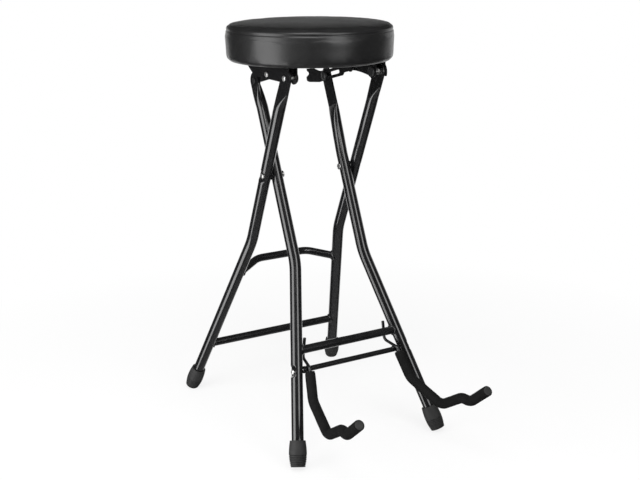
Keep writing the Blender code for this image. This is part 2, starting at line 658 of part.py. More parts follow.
def plain_link_outline():
    # A straight bar with a round eye at each end.
    eye_turn = math.asin(LINK_NECK_HALF / LINK_EYE_RADIUS)
    ahead = arc((-LINK_SPAN, 0), LINK_EYE_RADIUS, eye_turn, 2 * math.pi - eye_turn, LINK_EYE_STEPS)
    behind = arc((0, 0), LINK_EYE_RADIUS, eye_turn - math.pi, math.pi - eye_turn, LINK_EYE_STEPS)
    return ahead + behind


def lock_link_outline():
    # Seen from +X in the link's own frame: its rivet at zero, its pin's eye ahead at minus the span.
    eye_turn = math.asin(LINK_NECK_HALF / LINK_EYE_RADIUS)
    eye = arc((-LINK_SPAN, 0), LINK_EYE_RADIUS, eye_turn, 2 * math.pi - eye_turn, LINK_EYE_STEPS)
    neck = -LINK_SPAN + LINK_NECK_LENGTH
    step = neck + LINK_BODY_CORNER
    lower = [(neck, -LINK_NECK_HALF), (step, -LINK_BODY_HALF)]
    upper = [(step, LINK_BODY_HALF), (neck, LINK_NECK_HALF)]
    tab = [(along * TAB_LENGTH, up * TAB_RISE) for along, up in TAB_SHARES]
    return eye + lower + [(0, -LINK_BODY_HALF)] + tab + [(0, LINK_BODY_HALF)] + upper


def slot_outline():
    front = arc((-LINK_SLOT_LENGTH + LINK_SLOT_HALF, 0), LINK_SLOT_HALF, math.pi / 2, 3 * math.pi / 2, 6)
    rear = arc((0, 0), LINK_SLOT_HALF, -math.pi / 2, math.pi / 2, 6)
    return front + rear


def add_plain_link(tag, side, links, finishes):
    body = plate(plain_link_outline(), LINK_IN, LINK_OUT, side)
    link = add_object("lock_link_" + tag, body, finishes["frame"], links, (0, 0, 0), (LINK_PITCH, 0, 0))
    middle = side * (LINK_IN + LINK_OUT) / 2
    cut_hole(link, links, (middle, 0, 0), TOP_PIN_RADIUS + SEAT_GAP, LINK_THICKNESS + OVERRUN)


def add_lock_link(tag, side, links, finishes):
    body = plate(lock_link_outline(), LINK_IN, LINK_OUT, side)
    link = add_object("lock_link_" + tag, body, finishes["frame"], links, (0, 0, 0), (LINK_PITCH, 0, 0))
    slot = plate(slot_outline(), LINK_IN - OVERRUN, LINK_OUT + OVERRUN, side)
    boolean(link, slot, links, (0, 0, 0), (LINK_PITCH, 0, 0))


# Seat

def seat_profile(inset):
    # The cushion's outer form, drawn in on every side by a wall.
    outline = []
    for out, up in SEAT_SHARES:
        outline.append((out * (SEAT_RADIUS - inset), up * (SEAT_THICKNESS - inset)))
    return outline


def add_seat(seat, finishes):
    # Board, foam and a sewn cover whose hem turns in under the board.
    centre = Vector((0, SEAT_SETBACK - FRONT_PIN.y, SEAT_RISE))
    board = [(0, BOARD_THICKNESS), (BOARD_RADIUS, BOARD_THICKNESS), (BOARD_RADIUS, 0), (0, 0)]
    made = add_object("seat_board", turned(board, SEAT_SEGMENTS), finishes["board"], seat, centre)
    for side, _ in SIDES:
        for x, y, z in web_screw_places(side):
            tool = cylinder(WEB_SCREW_RADIUS + SEAT_GAP, 2 * BOARD_THICKNESS, along_x=False)
            boolean(made, tool, seat, (x, y, SEAT_RISE))
    foam_low = BOARD_THICKNESS + SEAT_GAP
    lining = seat_profile(COVER_WALL + SEAT_GAP)
    foam = [point for point in lining if point[1] > foam_low]
    foam += [(lining[len(foam)][0], foam_low), (0, foam_low)]
    add_object("seat_foam", turned(foam, SEAT_SEGMENTS), finishes["foam"], seat, centre)
    hem = BOARD_RADIUS - COVER_HEM
    outside = seat_profile(0) + [(BOARD_RADIUS, -SEAT_GAP - COVER_WALL), (hem, -SEAT_GAP - COVER_WALL)]
    inside = seat_profile(COVER_WALL) + [(BOARD_RADIUS, -SEAT_GAP), (hem, -SEAT_GAP)]
    cover = outside + list(reversed(inside))
    add_object("seat_cover", turned(cover, SEAT_SEGMENTS), finishes["vinyl"], seat, centre)


# Cradle

def rod_half_length():
    lean = math.atan(INNER_SLOPE)
    tube = (TUBE_RADIUS + SEAT_GAP) / math.cos(lean)
    return leg_line(INNER_LEG, -ROD_DROP)[0] - tube - ROD_COLLAR_RADIUS * math.tan(abs(lean))


def add_rod(cradle, finishes):
    half = rod_half_length()
    rod = add_object("cradle_rod", cylinder(ROD_RADIUS, 2 * half), finishes["frame"], cradle)
    for side, tag in SIDES:
        bore_length = 2 * (ROD_SCREW_DEPTH + SEAT_GAP)
        cut_hole(rod, cradle, (side * half, 0, 0), ROD_SCREW_RADIUS + SEAT_GAP, bore_length)
        add_ring("rod_collar_" + tag, side, (ROD_RADIUS + SEAT_GAP, ROD_COLLAR_RADIUS),
                 half - ROD_COLLAR_LENGTH, half, cradle, (0, 0, 0), finishes["frame"])


def arm_point(side, flat):
    # From (ahead, up) in an arm's own slanting plane to the cradle's frame.
    arm_start = leg_line(INNER_LEG, -ROD_DROP)[0] - ARM_INSET
    x = arm_start + flat.x * math.sin(ARM_TOE_OUT) - flat.y * ARM_SPLAY
    return Vector((side * x, -flat.x * math.cos(ARM_TOE_OUT), flat.y))


def arm_frames(side, flat):
    origin = arm_point(side, Vector((0, 0)))
    up = arm_point(side, Vector((0, 1))) - origin
    ahead = arm_point(side, Vector((1, 0))) - origin
    return frames_along([arm_point(side, point) for point in flat], up.cross(ahead).normalized())


def wire_corners():
    # The prong stands behind the front cross bar, and the wire crosses over the rod.
    prong = (BAR_CENTRE.y - ROD_CENTRE.y + FRONT_BAR_RADIUS + WIRE_RADIUS + PIN_GAP) / math.cos(ARM_TOE_OUT)
    over = (ROD_RADIUS + WIRE_RADIUS + SEAT_GAP) / math.cos(WIRE_PITCH)
    heel = (-prong, over + prong * math.tan(WIRE_PITCH))
    shoulder = (SHOULDER_AHEAD, over - SHOULDER_AHEAD * math.tan(WIRE_PITCH))
    return [(-prong, PRONG_RISE), heel, shoulder]


def padded_corners():
    return [(ahead * ARM_REACH, up * ARM_DEPTH) for ahead, up in ARM_CORNER_SHARES]


def add_arm(tag, side, cradle, finishes):
    flat = rounded(wire_corners() + padded_corners(), PRONG_BENDS + ARM_BENDS)
    frames = arm_frames(side, flat)
    rings = [ring_at(place, WIRE_RADIUS, WIRE_SIDES) for place in frames]
    add_object("cradle_arm_" + tag, loft(rings), finishes["wire"], cradle)


def sleeve_start():
    # The first place down the wire where the sleeve's square end clears the rod's collar.
    shoulder = Vector(wire_corners()[-1])
    run = (Vector(padded_corners()[0]) - shoulder).normalized()
    corner = shoulder + SLEEVE_RADIUS * Vector((run.y, -run.x))
    along = corner.dot(run)
    reach = (ROD_COLLAR_RADIUS + PIN_GAP) ** 2 - corner.length_squared + along ** 2
    return shoulder + (math.sqrt(max(reach, 0)) - along) * run


def add_sleeve(tag, side, cradle, finishes):
    # A foam tube with a closed round tip, bored for the wire from its open end.
    start = sleeve_start()
    flat = rounded([start] + padded_corners(), ARM_BENDS)
    frames = arm_frames(side, flat)
    point, across, over, tangent = frames[-1]
    bore_end = (point + SEAT_GAP * tangent, across, over, tangent)
    bore = reversed(frames[:-1] + [bore_end])
    rings = [ring_at(place, WIRE_RADIUS + SEAT_GAP, SLEEVE_SIDES) for place in bore]
    rings += [ring_at(place, SLEEVE_RADIUS, SLEEVE_SIDES) for place in frames]
    for share in TIP_SHARES:
        place = (point + share * SLEEVE_TIP * tangent, across, over, tangent)
        rings.append(ring_at(place, SLEEVE_RADIUS * math.sqrt(1 - share ** 2), SLEEVE_SIDES))
    add_object("foam_sleeve_" + tag, loft(rings), finishes["sleeve"], cradle)


def centre_on_floor():
    # Shifts every root so that the origin is on the floor, midway between the front and rear ends.
    scene = bpy.context.evaluated_depsgraph_get()
    reach = []
    for item in bpy.data.objects:
        if item.type == "MESH" and not item.hide_render:
            solid = item.evaluated_get(scene)
            reach += [(solid.matrix_world @ vertex.co).y for vertex in solid.data.vertices]
    for item in bpy.data.objects:
        if item.parent is None:
            item.location.y -= (min(reach) + max(reach)) / 2


def main():
    clear_scene()
    finishes = {
        "frame": material("black_tube", (0.012, 0.012, 0.013), 0.32, 0.0),
        "wire": material("black_wire", (0.010, 0.010, 0.011), 0.40, 0.0),
        "steel": material("zinc_steel", (0.72, 0.72, 0.70), 0.30, 1.0),
        "rubber": material("black_rubber", (0.018, 0.018, 0.018), 0.75, 0.0),
        "plastic": material("black_plastic", (0.015, 0.015, 0.016), 0.50, 0.0),
        "sleeve": material("black_foam", (0.016, 0.016, 0.017), 0.90, 0.0),
        "vinyl": material("black_vinyl", (0.022, 0.022, 0.023), 0.45, 0.0),
        "foam": material("cushion_foam", (0.70, 0.66, 0.52), 0.95, 0.0),
        "board": material("seat_board", (0.05, 0.045, 0.04), 0.80, 0.0),
    }
    outer = add_empty("outer_frame", PIVOT, LEAN)
    inner = add_empty("inner_frame", PIVOT, -LEAN)
    seat = add_empty("seat_hinge", FRONT_PIN)
    links = add_empty("link_hinge", TOP_PIN)
    cradle = add_empty("cradle_hinge", ROD_CENTRE)
    outer_holes = ((0, CROSS_BOLT_RADIUS + SEAT_GAP), (OUTER_TOP, FRONT_PIN_RADIUS + PIN_GAP))
    inner_holes = ((0, CROSS_BOLT_RADIUS + PIN_GAP), (INNER_TOP, TOP_PIN_RADIUS + SEAT_GAP),
                   (-ROD_DROP, ROD_SCREW_RADIUS + SEAT_GAP))
    for side, tag in SIDES:
        add_leg("outer_leg_" + tag, side, OUTER_LEG, outer, finishes["frame"], outer_holes)
        add_foot("foot_rear_" + tag, side, OUTER_LEG, outer, finishes["rubber"])
        add_foot("foot_front_" + tag, side, INNER_LEG, inner, finishes["rubber"])
        add_cross_bolt(tag, side, outer, finishes)
        add_front_pin(tag, side, seat, finishes)
        add_link_pin(tag, side, seat, finishes)
        add_top_rivet(tag, side, inner, finishes)
        add_rod_screw(tag, side, inner, finishes)
        add_bracket(tag, side, seat, finishes)
        add_bracket_screws(tag, side, seat, finishes)
        add_arm(tag, side, cradle, finishes)
        add_sleeve(tag, side, cradle, finishes)
    add_leg("inner_leg_left", -1, PLAIN_INNER_LEG, inner, finishes["frame"], inner_holes)
    add_leg("inner_leg_right", 1, INNER_LEG, inner, finishes["frame"], inner_holes)
    add_plain_link("left", -1, links, finishes)
    add_lock_link("right", 1, links, finishes)
    add_straight_bar("rear_lower_bar", OUTER_LEG, LOWER_BAR_DROP, LOWER_BAR_RADIUS, outer, finishes["frame"])
    add_bulged_bar("rear_upper_bar", OUTER_LEG, UPPER_BAR_DROP, UPPER_BAR_RADIUS, outer, finishes["frame"])
    add_straight_bar("front_bar", INNER_LEG, FRONT_BAR_DROP, FRONT_BAR_RADIUS, inner, finishes["frame"])
    add_rod(cradle, finishes)
    add_seat(seat, finishes)
    centre_on_floor()


main()
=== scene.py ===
# Looks of a folding musician's stool: tubes, fittings, padded seat and the swing-out cradle.
# Metres, +Z up; the sitter faces -Y. Left is -X.
import json
from math import atan, atan2, ceil, cos, dist, exp, hypot, pi, radians, sin, sqrt, tan

import bmesh
import bpy
from mathutils import Matrix, Vector, noise


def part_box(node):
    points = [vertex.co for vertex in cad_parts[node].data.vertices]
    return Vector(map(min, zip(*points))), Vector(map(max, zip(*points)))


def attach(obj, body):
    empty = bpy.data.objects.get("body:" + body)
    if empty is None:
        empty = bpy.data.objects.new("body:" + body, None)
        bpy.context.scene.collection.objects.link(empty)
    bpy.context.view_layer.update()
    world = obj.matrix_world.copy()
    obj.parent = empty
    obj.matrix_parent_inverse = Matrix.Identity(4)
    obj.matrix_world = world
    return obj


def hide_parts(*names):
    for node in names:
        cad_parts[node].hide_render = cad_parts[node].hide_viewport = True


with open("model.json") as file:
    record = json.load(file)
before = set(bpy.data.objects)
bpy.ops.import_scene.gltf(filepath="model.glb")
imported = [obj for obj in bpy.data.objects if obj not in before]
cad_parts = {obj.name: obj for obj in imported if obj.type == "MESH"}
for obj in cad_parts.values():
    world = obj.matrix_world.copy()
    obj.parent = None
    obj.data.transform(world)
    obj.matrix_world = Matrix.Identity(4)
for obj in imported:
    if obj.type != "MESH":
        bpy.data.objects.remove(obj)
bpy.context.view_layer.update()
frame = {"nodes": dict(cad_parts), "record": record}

SIDES = ((-1, "left"), (1, "right"))
UP = Vector((0, 0, 1))

# Places and slopes of the frame
PIVOT = Vector((0, 0.0802, 0.48771))
FRONT_PIN = Vector((0, -0.00405, 0.67657))
LINK_PIN = FRONT_PIN + Vector((0, 0.0660, 0))
ROD_CENTRE = Vector((0, -0.06772, 0.15611))
ROD_DROP = 0.3631
BOARD_UNDERSIDE = 0.69807
LEAN = atan2(0.2155, 0.4831)
LEG_REACH = hypot(0.2155, 0.4831)
OUTER_X = 0.0973
INNER_X = 0.0740
TUBE_RADIUS = 0.0110
GAP = 0.0003

# Legs: below the flat eye the tube is squeezed over "press", while its axis moves to the eye's over "settle";
# "corner" and "start" say how boxy the squeezed section is and how wide it starts.
EYE_HALF_THICKNESS = 0.0015
OUTER_LEG = {
    "foot_x": 0.1707, "upper_x": OUTER_X, "bend_drop": 0.1542, "top": 0.2068, "eye_length": 0.0230,
    "eye_half_width": 0.0168, "eye_offset": -0.0009, "press": 0.0460, "settle": 0.0460,
    "crimp": 0.0, "lean": LEAN, "corner": 9, "start": 1.4,
}
INNER_LEG = {
    "foot_x": 0.1534, "upper_x": INNER_X, "bend_drop": 0.1685, "top": 0.1815, "eye_length": 0.0590,
    "eye_half_width": 0.0160, "eye_offset": 0.0041, "press": 0.0580, "settle": 0.0960,
    "crimp": -ROD_DROP, "lean": -LEAN, "corner": 3, "start": 2.2,
}
for leg in (OUTER_LEG, INNER_LEG):
    leg["slope"] = (leg["upper_x"] - leg["foot_x"]) / (LEG_REACH - leg["bend_drop"])
    leg["place"] = Matrix.Translation(PIVOT) @ Matrix.Rotation(leg["lean"], 4, "X")
# The leg beside the plain link has a short eye.
PLAIN_INNER_LEG = {**INNER_LEG, "eye_length": 0.0080, "press": 0.0440, "settle": 0.0440, "corner": 9, "start": 1.4}
BEND_HALF_LENGTH = 0.0160
CRIMP_DEPTH = 0.0048
CRIMP_HALF_LENGTH = 0.0060
CRIMP_RUN = 0.0070
FOOT_SOLE = 0.0070
FOOT_HEIGHT = 0.0470
FOOT_EDGE = 0.0008
FOOT_RING_TOP = 0.0225
FOOT_RING_STEP = 0.0031

# Bars: piece, node, leg, drop below the pivot, radius, bulge and body
BARS = (
    ("lower_bar", "rear_lower_bar", OUTER_LEG, 0.4149, 0.0079, 0, "outer_frame"),
    ("upper_bar", "rear_upper_bar", OUTER_LEG, 0.2313, 0.0077, 0.0320, "outer_frame"),
    ("footrest_bar", "front_bar", INNER_LEG, 0.3270, 0.0078, 0, "inner_frame"),
)
BAR_SHORT = 0.0040
BAR_FLAT = 0.0560
BAR_BEND = 0.0450
ROD_RADIUS = 0.0050
ROD_BEVEL = 0.0005
COLLAR_RADIUS = 0.0066
COLLAR_LENGTH = 0.0046

# Fasteners
BOLT_RADIUS = 0.0038
BOLT_BORE = 0.0041
BOLT_HEAD = 0.0052
SMALL_HEAD = 0.0050
PIN_HEAD_HEIGHT = 0.0019
CROSS_NUT_RADIUS = 0.0062
CROSS_NUT_HEIGHT = 0.0024
WASHER_RADIUS = 0.0085
WALL_THICKNESS = 0.0024
CHANNEL_WIDTH = 0.0158
FRONT_NUT_RADIUS = 0.0068
FRONT_NUT_HEIGHT = 0.0042
CAP_RADIUS = 0.0098
CAP_HEIGHT = 0.0029
CAP_EDGE = 0.0012
LINK_THICKNESS = 0.0025
LINK_PIN_RADIUS = 0.0030
RIVET_RADIUS = 0.0029
RIVET_TAIL = 0.0056
RIVET_HEAD = 0.0094
ROD_SCREW_RADIUS = 0.0026
WOOD_SCREW_RADIUS = 0.0024
WOOD_SCREW_HEAD = 0.0046
WOOD_SCREW_HEIGHT = 0.0018
THREAD_PITCH = 0.0008
THREAD_DEPTH = 0.0004

# Cradle arms: padded corners as shares of reach and depth, in the arm's own plane
WIRE_RADIUS = 0.0029
SLEEVE_RADIUS = 0.0094
SLEEVE_TIP = 0.0042
SLEEVE_START = 0.0079
ARM_INSET = 0.0220
ARM_TOE_OUT = radians(8.76)
ARM_SPLAY = 0.1068
ARM_REACH = 0.2358
ARM_DEPTH = 0.0748
ARM_SHARES = ((0.170, -0.614), (0.511, -1.0), (0.745, -0.531), (0.829, -0.552), (1.0, -0.092))
ARM_CORNERS = [(ahead * ARM_REACH, up * ARM_DEPTH) for ahead, up in ARM_SHARES]
ARM_BENDS = (0.0250, 0.0280, 0.0240, 0.0240)
PRONG_BENDS = (0.0080, 0.0080)
PRONG_BACK = 0.02621
PRONG_RISE = 0.0502
HEEL_UP = 0.01245
SHOULDER = Vector((0.0094, 0.00681))

# A sleeve's plug as (ahead of the tip, radius)
PLUG_SHAPE = ((-0.0006, 0.0076), (0.0003, 0.0078), (0.0005, 0.0074), (0.0008, 0.0050), (0.0009, 0.0020))

# Seat: the profile as shares of radius and thickness, from the crown's middle to the hem
SEAT_CENTRE = Vector((0, 0.0822, BOARD_UNDERSIDE))
SEAT_RADIUS = 0.1549
SEAT_THICKNESS = 0.0662
BOARD_RADIUS = 0.1436
BOARD_THICKNESS = 0.0090
HELD_HEIGHT = 0.0105
SWELL_LIMIT = 0.0006
CLOTH = {
    "quality": 6, "mass": 0.4, "tension_stiffness": 30, "compression_stiffness": 30, "shear_stiffness": 12,
    "bending_stiffness": 4, "use_pressure": True, "uniform_pressure_force": 9,
}
HEM = -0.0017
CREASE_RADIUS = 0.1487
SEAM_HEIGHT = 0.0528
ROLL_HEIGHT = 0.0567
STAPLE_SHAPE = ((-0.0050, 0.0010), (-0.0048, 0), (0.0048, 0), (0.0050, 0.0010))
SEAT_SHARES = (
    (0, 1.026), (0.36, 1.020), (0.64, 1.003), (0.80, 0.986), (0.88, 0.974), (0.925, 0.964), (0.948, 0.955),
    (0.963, 0.941), (0.975, 0.916), (0.984, 0.881), (0.990, 0.836), (0.995, 0.780), (1.0, 0.670), (0.9995, 0.560),
    (0.997, 0.450), (0.995, 0.340), (0.993, 0.220), (0.989, 0.120), (0.982, 0.055), (0.967, 0.012),
)

# Camera, and the heights of the room's cards behind the stool
VIEW_PLACE = (-0.9668, -1.6270, 0.9164)
VIEW_AHEAD = Vector((0.4802, 0.8321, -0.2775))
VIEW_ROLL = radians(-0.29)
VIEW_LENS = 59.52
CARD_MIDDLE = 0.76
CARD_TOP = 1.42


# Node building

def set_inputs(node, values):
    # An input given a socket is linked, any other value is set on it.
    for name, value in values.items():
        if isinstance(value, bpy.types.NodeSocket):
            node.id_data.links.new(value, node.inputs[name])
        else:
            node.inputs[name].default_value = value


def add_node(tree, kind, inputs=None, **settings):
    made = tree.nodes.new("ShaderNode" + kind)
    for name, value in settings.items():
        setattr(made, name, value)
    set_inputs(made, inputs or {})
    return made


def maths(tree, operation, first, second=0.0, clamp=False):
    return add_node(tree, "Math", {0: first, 1: second}, operation=operation, use_clamp=clamp).outputs[0]


def remap(tree, value, low, high, out_low=0.0, out_high=1.0):
    inputs = {"Value": value, "From Min": low, "From Max": high, "To Min": out_low, "To Max": out_high}
    return add_node(tree, "MapRange", inputs).outputs["Result"]


def blend(tree, amount, first, second):
    return add_node(tree, "Mix", {0: amount, 6: first, 7: second}, data_type="RGBA").outputs[2]


def grey(level):
    return (level, level, level, 1)


def object_place(tree):
    return add_node(tree, "TexCoord").outputs["Object"]


def clouds(tree, place, scale, detail, output=0, **more):
    inputs = {"Vector": place, "Scale": scale, "Detail": detail, **more}
    return add_node(tree, "TexNoise", inputs).outputs[output]


def new_group(name, **defaults):
    # A shader group that puts out one value; its inputs are named with spaces.
    tree = bpy.data.node_groups.new(name, "ShaderNodeTree")
    for label, default in defaults.items():
        socket = tree.interface.new_socket(label.replace("_", " "), in_out="INPUT", socket_type="NodeSocketFloat")
        socket.default_value = default
    return tree, tree.nodes.new("NodeGroupInput").outputs


def close_group(tree, value):
    tree.interface.new_socket("Value", in_out="OUTPUT", socket_type="NodeSocketFloat")
    set_inputs(tree.nodes.new("NodeGroupOutput"), {"Value": value})
    return tree


def use_group(tree, group, **values):
    inputs = {label.replace("_", " "): value for label, value in values.items()}
    return add_node(tree, "Group", inputs, node_tree=group).outputs["Value"]


def build_uneven_sheen():
    # Broad cloudy patches with finer ones inside them, as handling and spraying leave.
    tree, given = new_group("uneven sheen", Scale=18.0, Fine_scale=160.0)
    place = object_place(tree)
    broad = maths(tree, "MULTIPLY", clouds(tree, place, given["Scale"], 3.0), 0.65)
    fine = maths(tree, "MULTIPLY", clouds(tree, place, given["Fine scale"], 2.0), 0.35)
    return close_group(tree, remap(tree, maths(tree, "ADD", broad, fine), 0.34, 0.66))


def build_rubbed_edges():
    # Where corners and edges stand proud, broken up so that the wear comes and goes.
    tree, given = new_group("rubbed edges", Width=0.0006, Amount=1.0)
    soft = add_node(tree, "Bevel", {"Radius": given["Width"]}, samples=6).outputs["Normal"]
    flat = add_node(tree, "NewGeometry").outputs["Normal"]
    dot = add_node(tree, "VectorMath", {0: soft, 1: flat}, operation="DOT_PRODUCT").outputs["Value"]
    patches = clouds(tree, object_place(tree), 140.0, 4.0)
    worn = maths(tree, "MULTIPLY", remap(tree, dot, 0.93, 0.75), remap(tree, patches, 0.42, 0.62))
    return close_group(tree, maths(tree, "MULTIPLY", worn, given["Amount"]))


def build_settled_dust():
    # Faint dust on what faces up, thicker in uneven patches.
    tree, given = new_group("settled dust", Amount=0.1, Scale=60.0)
    coords = add_node(tree, "TexCoord").outputs
    up = add_node(tree, "SeparateXYZ", {0: coords["Normal"]}).outputs["Z"]
    patches = clouds(tree, coords["Object"], given["Scale"], 5.0, Roughness=0.7)
    lying = maths(tree, "MULTIPLY", remap(tree, up, 0.1, 0.95), remap(tree, patches, 0.35, 0.75))
    return close_group(tree, maths(tree, "MULTIPLY", lying, given["Amount"]))


def build_fine_scratches():
    # Short hairlines that run in two slanting directions.
    tree, given = new_group("fine scratches", Scale=90.0, Amount=1.0)
    lines = []
    for turn in ((0.5, 0.3, 0.9), (-0.7, 0.2, 0.4)):
        turned = add_node(tree, "Mapping", {"Vector": object_place(tree), "Rotation": turn,
                                            "Scale": (1.0, 14.0, 1.0)}).outputs[0]
        lines.append(remap(tree, clouds(tree, turned, given["Scale"], 1.0), 0.70, 0.76))
    return close_group(tree, maths(tree, "MULTIPLY", maths(tree, "MAXIMUM", *lines), given["Amount"]))


SHEEN = build_uneven_sheen()
RUBBED = build_rubbed_edges()
DUST = build_settled_dust()
SCRATCHES = build_fine_scratches()


# Materials

def start_material(name):
    made = bpy.data.materials.new(name)
    made.use_nodes = True
    tree = made.node_tree
    return made, tree, tree.nodes["Principled BSDF"]


def start_finish(name, scale, fine_scale):
    made, tree, surface = start_material(name)
    return made, tree, surface, use_group(tree, SHEEN, Scale=scale, Fine_scale=fine_scale)


def bumped(surface, height, distance, strength, **under):
    inputs = {"Height": height, "Distance": distance, "Strength": strength, **under}
    normal = add_node(surface.id_data, "Bump", inputs).outputs["Normal"]
    set_inputs(surface, {"Normal": normal})
    return normal


def powder_coat(name, gloss, coat):
    # Sprayed and baked black: faint orange peel, softer patches, pale dust and rubbed corners.
    made, tree, surface, sheen = start_finish(name, 14.0, 90.0)
    worn = use_group(tree, RUBBED, Width=0.0005, Amount=0.55)
    dust = use_group(tree, DUST, Amount=0.04, Scale=55.0)
    lines = use_group(tree, SCRATCHES, Scale=70.0, Amount=0.06)
    base = blend(tree, sheen, (0.0048, 0.0048, 0.0052, 1), (0.0078, 0.0078, 0.00845, 1))
    base = blend(tree, lines, blend(tree, dust, base, (0.20, 0.19, 0.18, 1)), grey(0.10))
    rough = remap(tree, sheen, 0, 1, gloss - 0.012, gloss + 0.018)
    set_inputs(surface, {
        "Base Color": blend(tree, worn, base, (0.075, 0.075, 0.08, 1)),
        "Roughness": maths(tree, "ADD", rough, maths(tree, "MULTIPLY", dust, 0.8)),
        "Coat Roughness": gloss * 0.7,
        "Coat Weight": maths(tree, "SUBTRACT", coat, maths(tree, "ADD", dust, worn), clamp=True),
    })
    bumped(surface, clouds(tree, object_place(tree), 420.0, 1.0), 0.00001, 0.5)
    return made


def plated_steel(name):
    # Bright zinc with soft crystals, hairlines and patches of duller gloss.
    made, tree, surface, sheen = start_finish(name, 90.0, 420.0)
    lines = use_group(tree, SCRATCHES, Scale=260.0, Amount=0.5)
    crystals = add_node(tree, "TexVoronoi", {"Vector": object_place(tree), "Scale": 900.0})
    tint = add_node(tree, "SeparateColor", {0: crystals.outputs["Color"]}).outputs[0]
    base = blend(tree, tint, (0.74, 0.75, 0.76, 1), (0.84, 0.83, 0.80, 1))
    set_inputs(surface, {"Base Color": blend(tree, lines, base, grey(0.88)), "Metallic": 1.0,
                         "Roughness": remap(tree, sheen, 0, 1, 0.34, 0.48)})
    bumped(surface, lines, 0.00003, 0.6)
    return made


def moulded(name, scales, colours, wear, rough, grain, depth, dust=0.0):
    # Moulded black with a fine grain, rubbed edges and a grey bloom where dust has settled.
    made, tree, surface, sheen = start_finish(name, *scales)
    base = blend(tree, sheen, *colours)
    if dust:
        base = blend(tree, use_group(tree, DUST, Amount=dust, Scale=120.0), base, (0.17, 0.165, 0.155, 1))
    width, amount, level = wear
    worn = use_group(tree, RUBBED, Width=width, Amount=amount)
    set_inputs(surface, {"Base Color": blend(tree, worn, base, grey(level)),
                         "Roughness": remap(tree, sheen, 0, 1, *rough)})
    bumped(surface, clouds(tree, object_place(tree), *grain), *depth)
    return made


def closed_foam(name):
    # Matt closed-cell foam: a skin pitted with small cells, each pit painted darker as shade.
    made, tree, surface, sheen = start_finish(name, 40.0, 240.0)
    place = object_place(tree)
    dust = use_group(tree, DUST, Amount=0.05, Scale=90.0)
    cells = add_node(tree, "TexVoronoi", {"Vector": place, "Scale": 950.0}).outputs["Distance"]
    pits_and_painted_shade = remap(tree, cells, 0.08, 0.45)
    base = blend(tree, dust, blend(tree, sheen, grey(0.003), grey(0.007)), (0.08, 0.079, 0.075, 1))
    # Painted shade: the base colour darkens towards the middle of each cell's pit.
    set_inputs(surface, {"Base Color": blend(tree, pits_and_painted_shade, grey(0.0015), base), "Specular IOR Level": 0.18,
                         "Roughness": remap(tree, sheen, 0, 1, 0.72, 0.90)})
    under = bumped(surface, clouds(tree, place, 130.0, 3.0), 0.0006, 0.5)
    bumped(surface, pits_and_painted_shade, 0.00018, 0.7, Normal=under)
    return made


def grained_vinyl(name):
    # Leather-like grain: small pebbles of uneven size between shallow creases, with painted shade darkening the
    # creases.
    made, tree, surface, sheen = start_finish(name, 16.0, 90.0)
    place = object_place(tree)
    dust = use_group(tree, DUST, Amount=0.07, Scale=40.0)
    drift = clouds(tree, place, 240.0, 2.0, "Color")
    shifted = add_node(tree, "Mix", {0: 0.0022, 4: place, 5: drift}, data_type="VECTOR").outputs[1]
    pebbles = add_node(tree, "TexVoronoi", {"Vector": shifted, "Scale": 640.0}, feature="DISTANCE_TO_EDGE")
    crease_and_painted_shade = remap(tree, pebbles.outputs["Distance"], 0.02, 0.22)
    # Painted shade: the base colour goes near black in the grain's creases.
    base = blend(tree, crease_and_painted_shade, grey(0.005), blend(tree, sheen, (0.010, 0.010, 0.0105, 1), (0.016, 0.016, 0.0165, 1)))
    rough = maths(tree, "ADD", remap(tree, sheen, 0, 1, 0.28, 0.36), remap(tree, crease_and_painted_shade, 0, 1, 0.10, 0.0))
    set_inputs(surface, {"Base Color": blend(tree, dust, base, (0.16, 0.16, 0.155, 1)), "Roughness": rough,
                         "Coat Weight": 0.15, "Coat Roughness": 0.22})
    under = bumped(surface, clouds(tree, place, 26.0, 2.0), 0.0008, 0.25)
    bumped(surface, crease_and_painted_shade, 0.00006, 0.35, Normal=under)
    return made


def stained_plywood(name):
    # Dark stained board: long grain on the faces and thin layers round the edge.
    made, tree, surface, sheen = start_finish(name, 30.0, 200.0)
    place = object_place(tree)
    dust = use_group(tree, DUST, Amount=0.15, Scale=70.0)
    stretched = add_node(tree, "Mapping", {"Vector": place, "Scale": (1.0, 12.0, 1.0)}).outputs[0]
    rings = clouds(tree, stretched, 26.0, 6.0, Distortion=0.4)
    layers = add_node(tree, "TexWave", {"Vector": place, "Scale": 130.0, "Distortion": 0.3},
                      bands_direction="Z").outputs["Fac"]
    figure = maths(tree, "MULTIPLY", remap(tree, rings, 0.35, 0.65), remap(tree, layers, 0, 1, 0.75, 1.0))
    base = blend(tree, figure, (0.016, 0.014, 0.012, 1), (0.050, 0.042, 0.034, 1))
    set_inputs(surface, {"Base Color": blend(tree, dust, base, (0.12, 0.11, 0.10, 1)),
                         "Roughness": remap(tree, sheen, 0, 1, 0.62, 0.80)})
    bumped(surface, figure, 0.0002, 0.5)
    return made


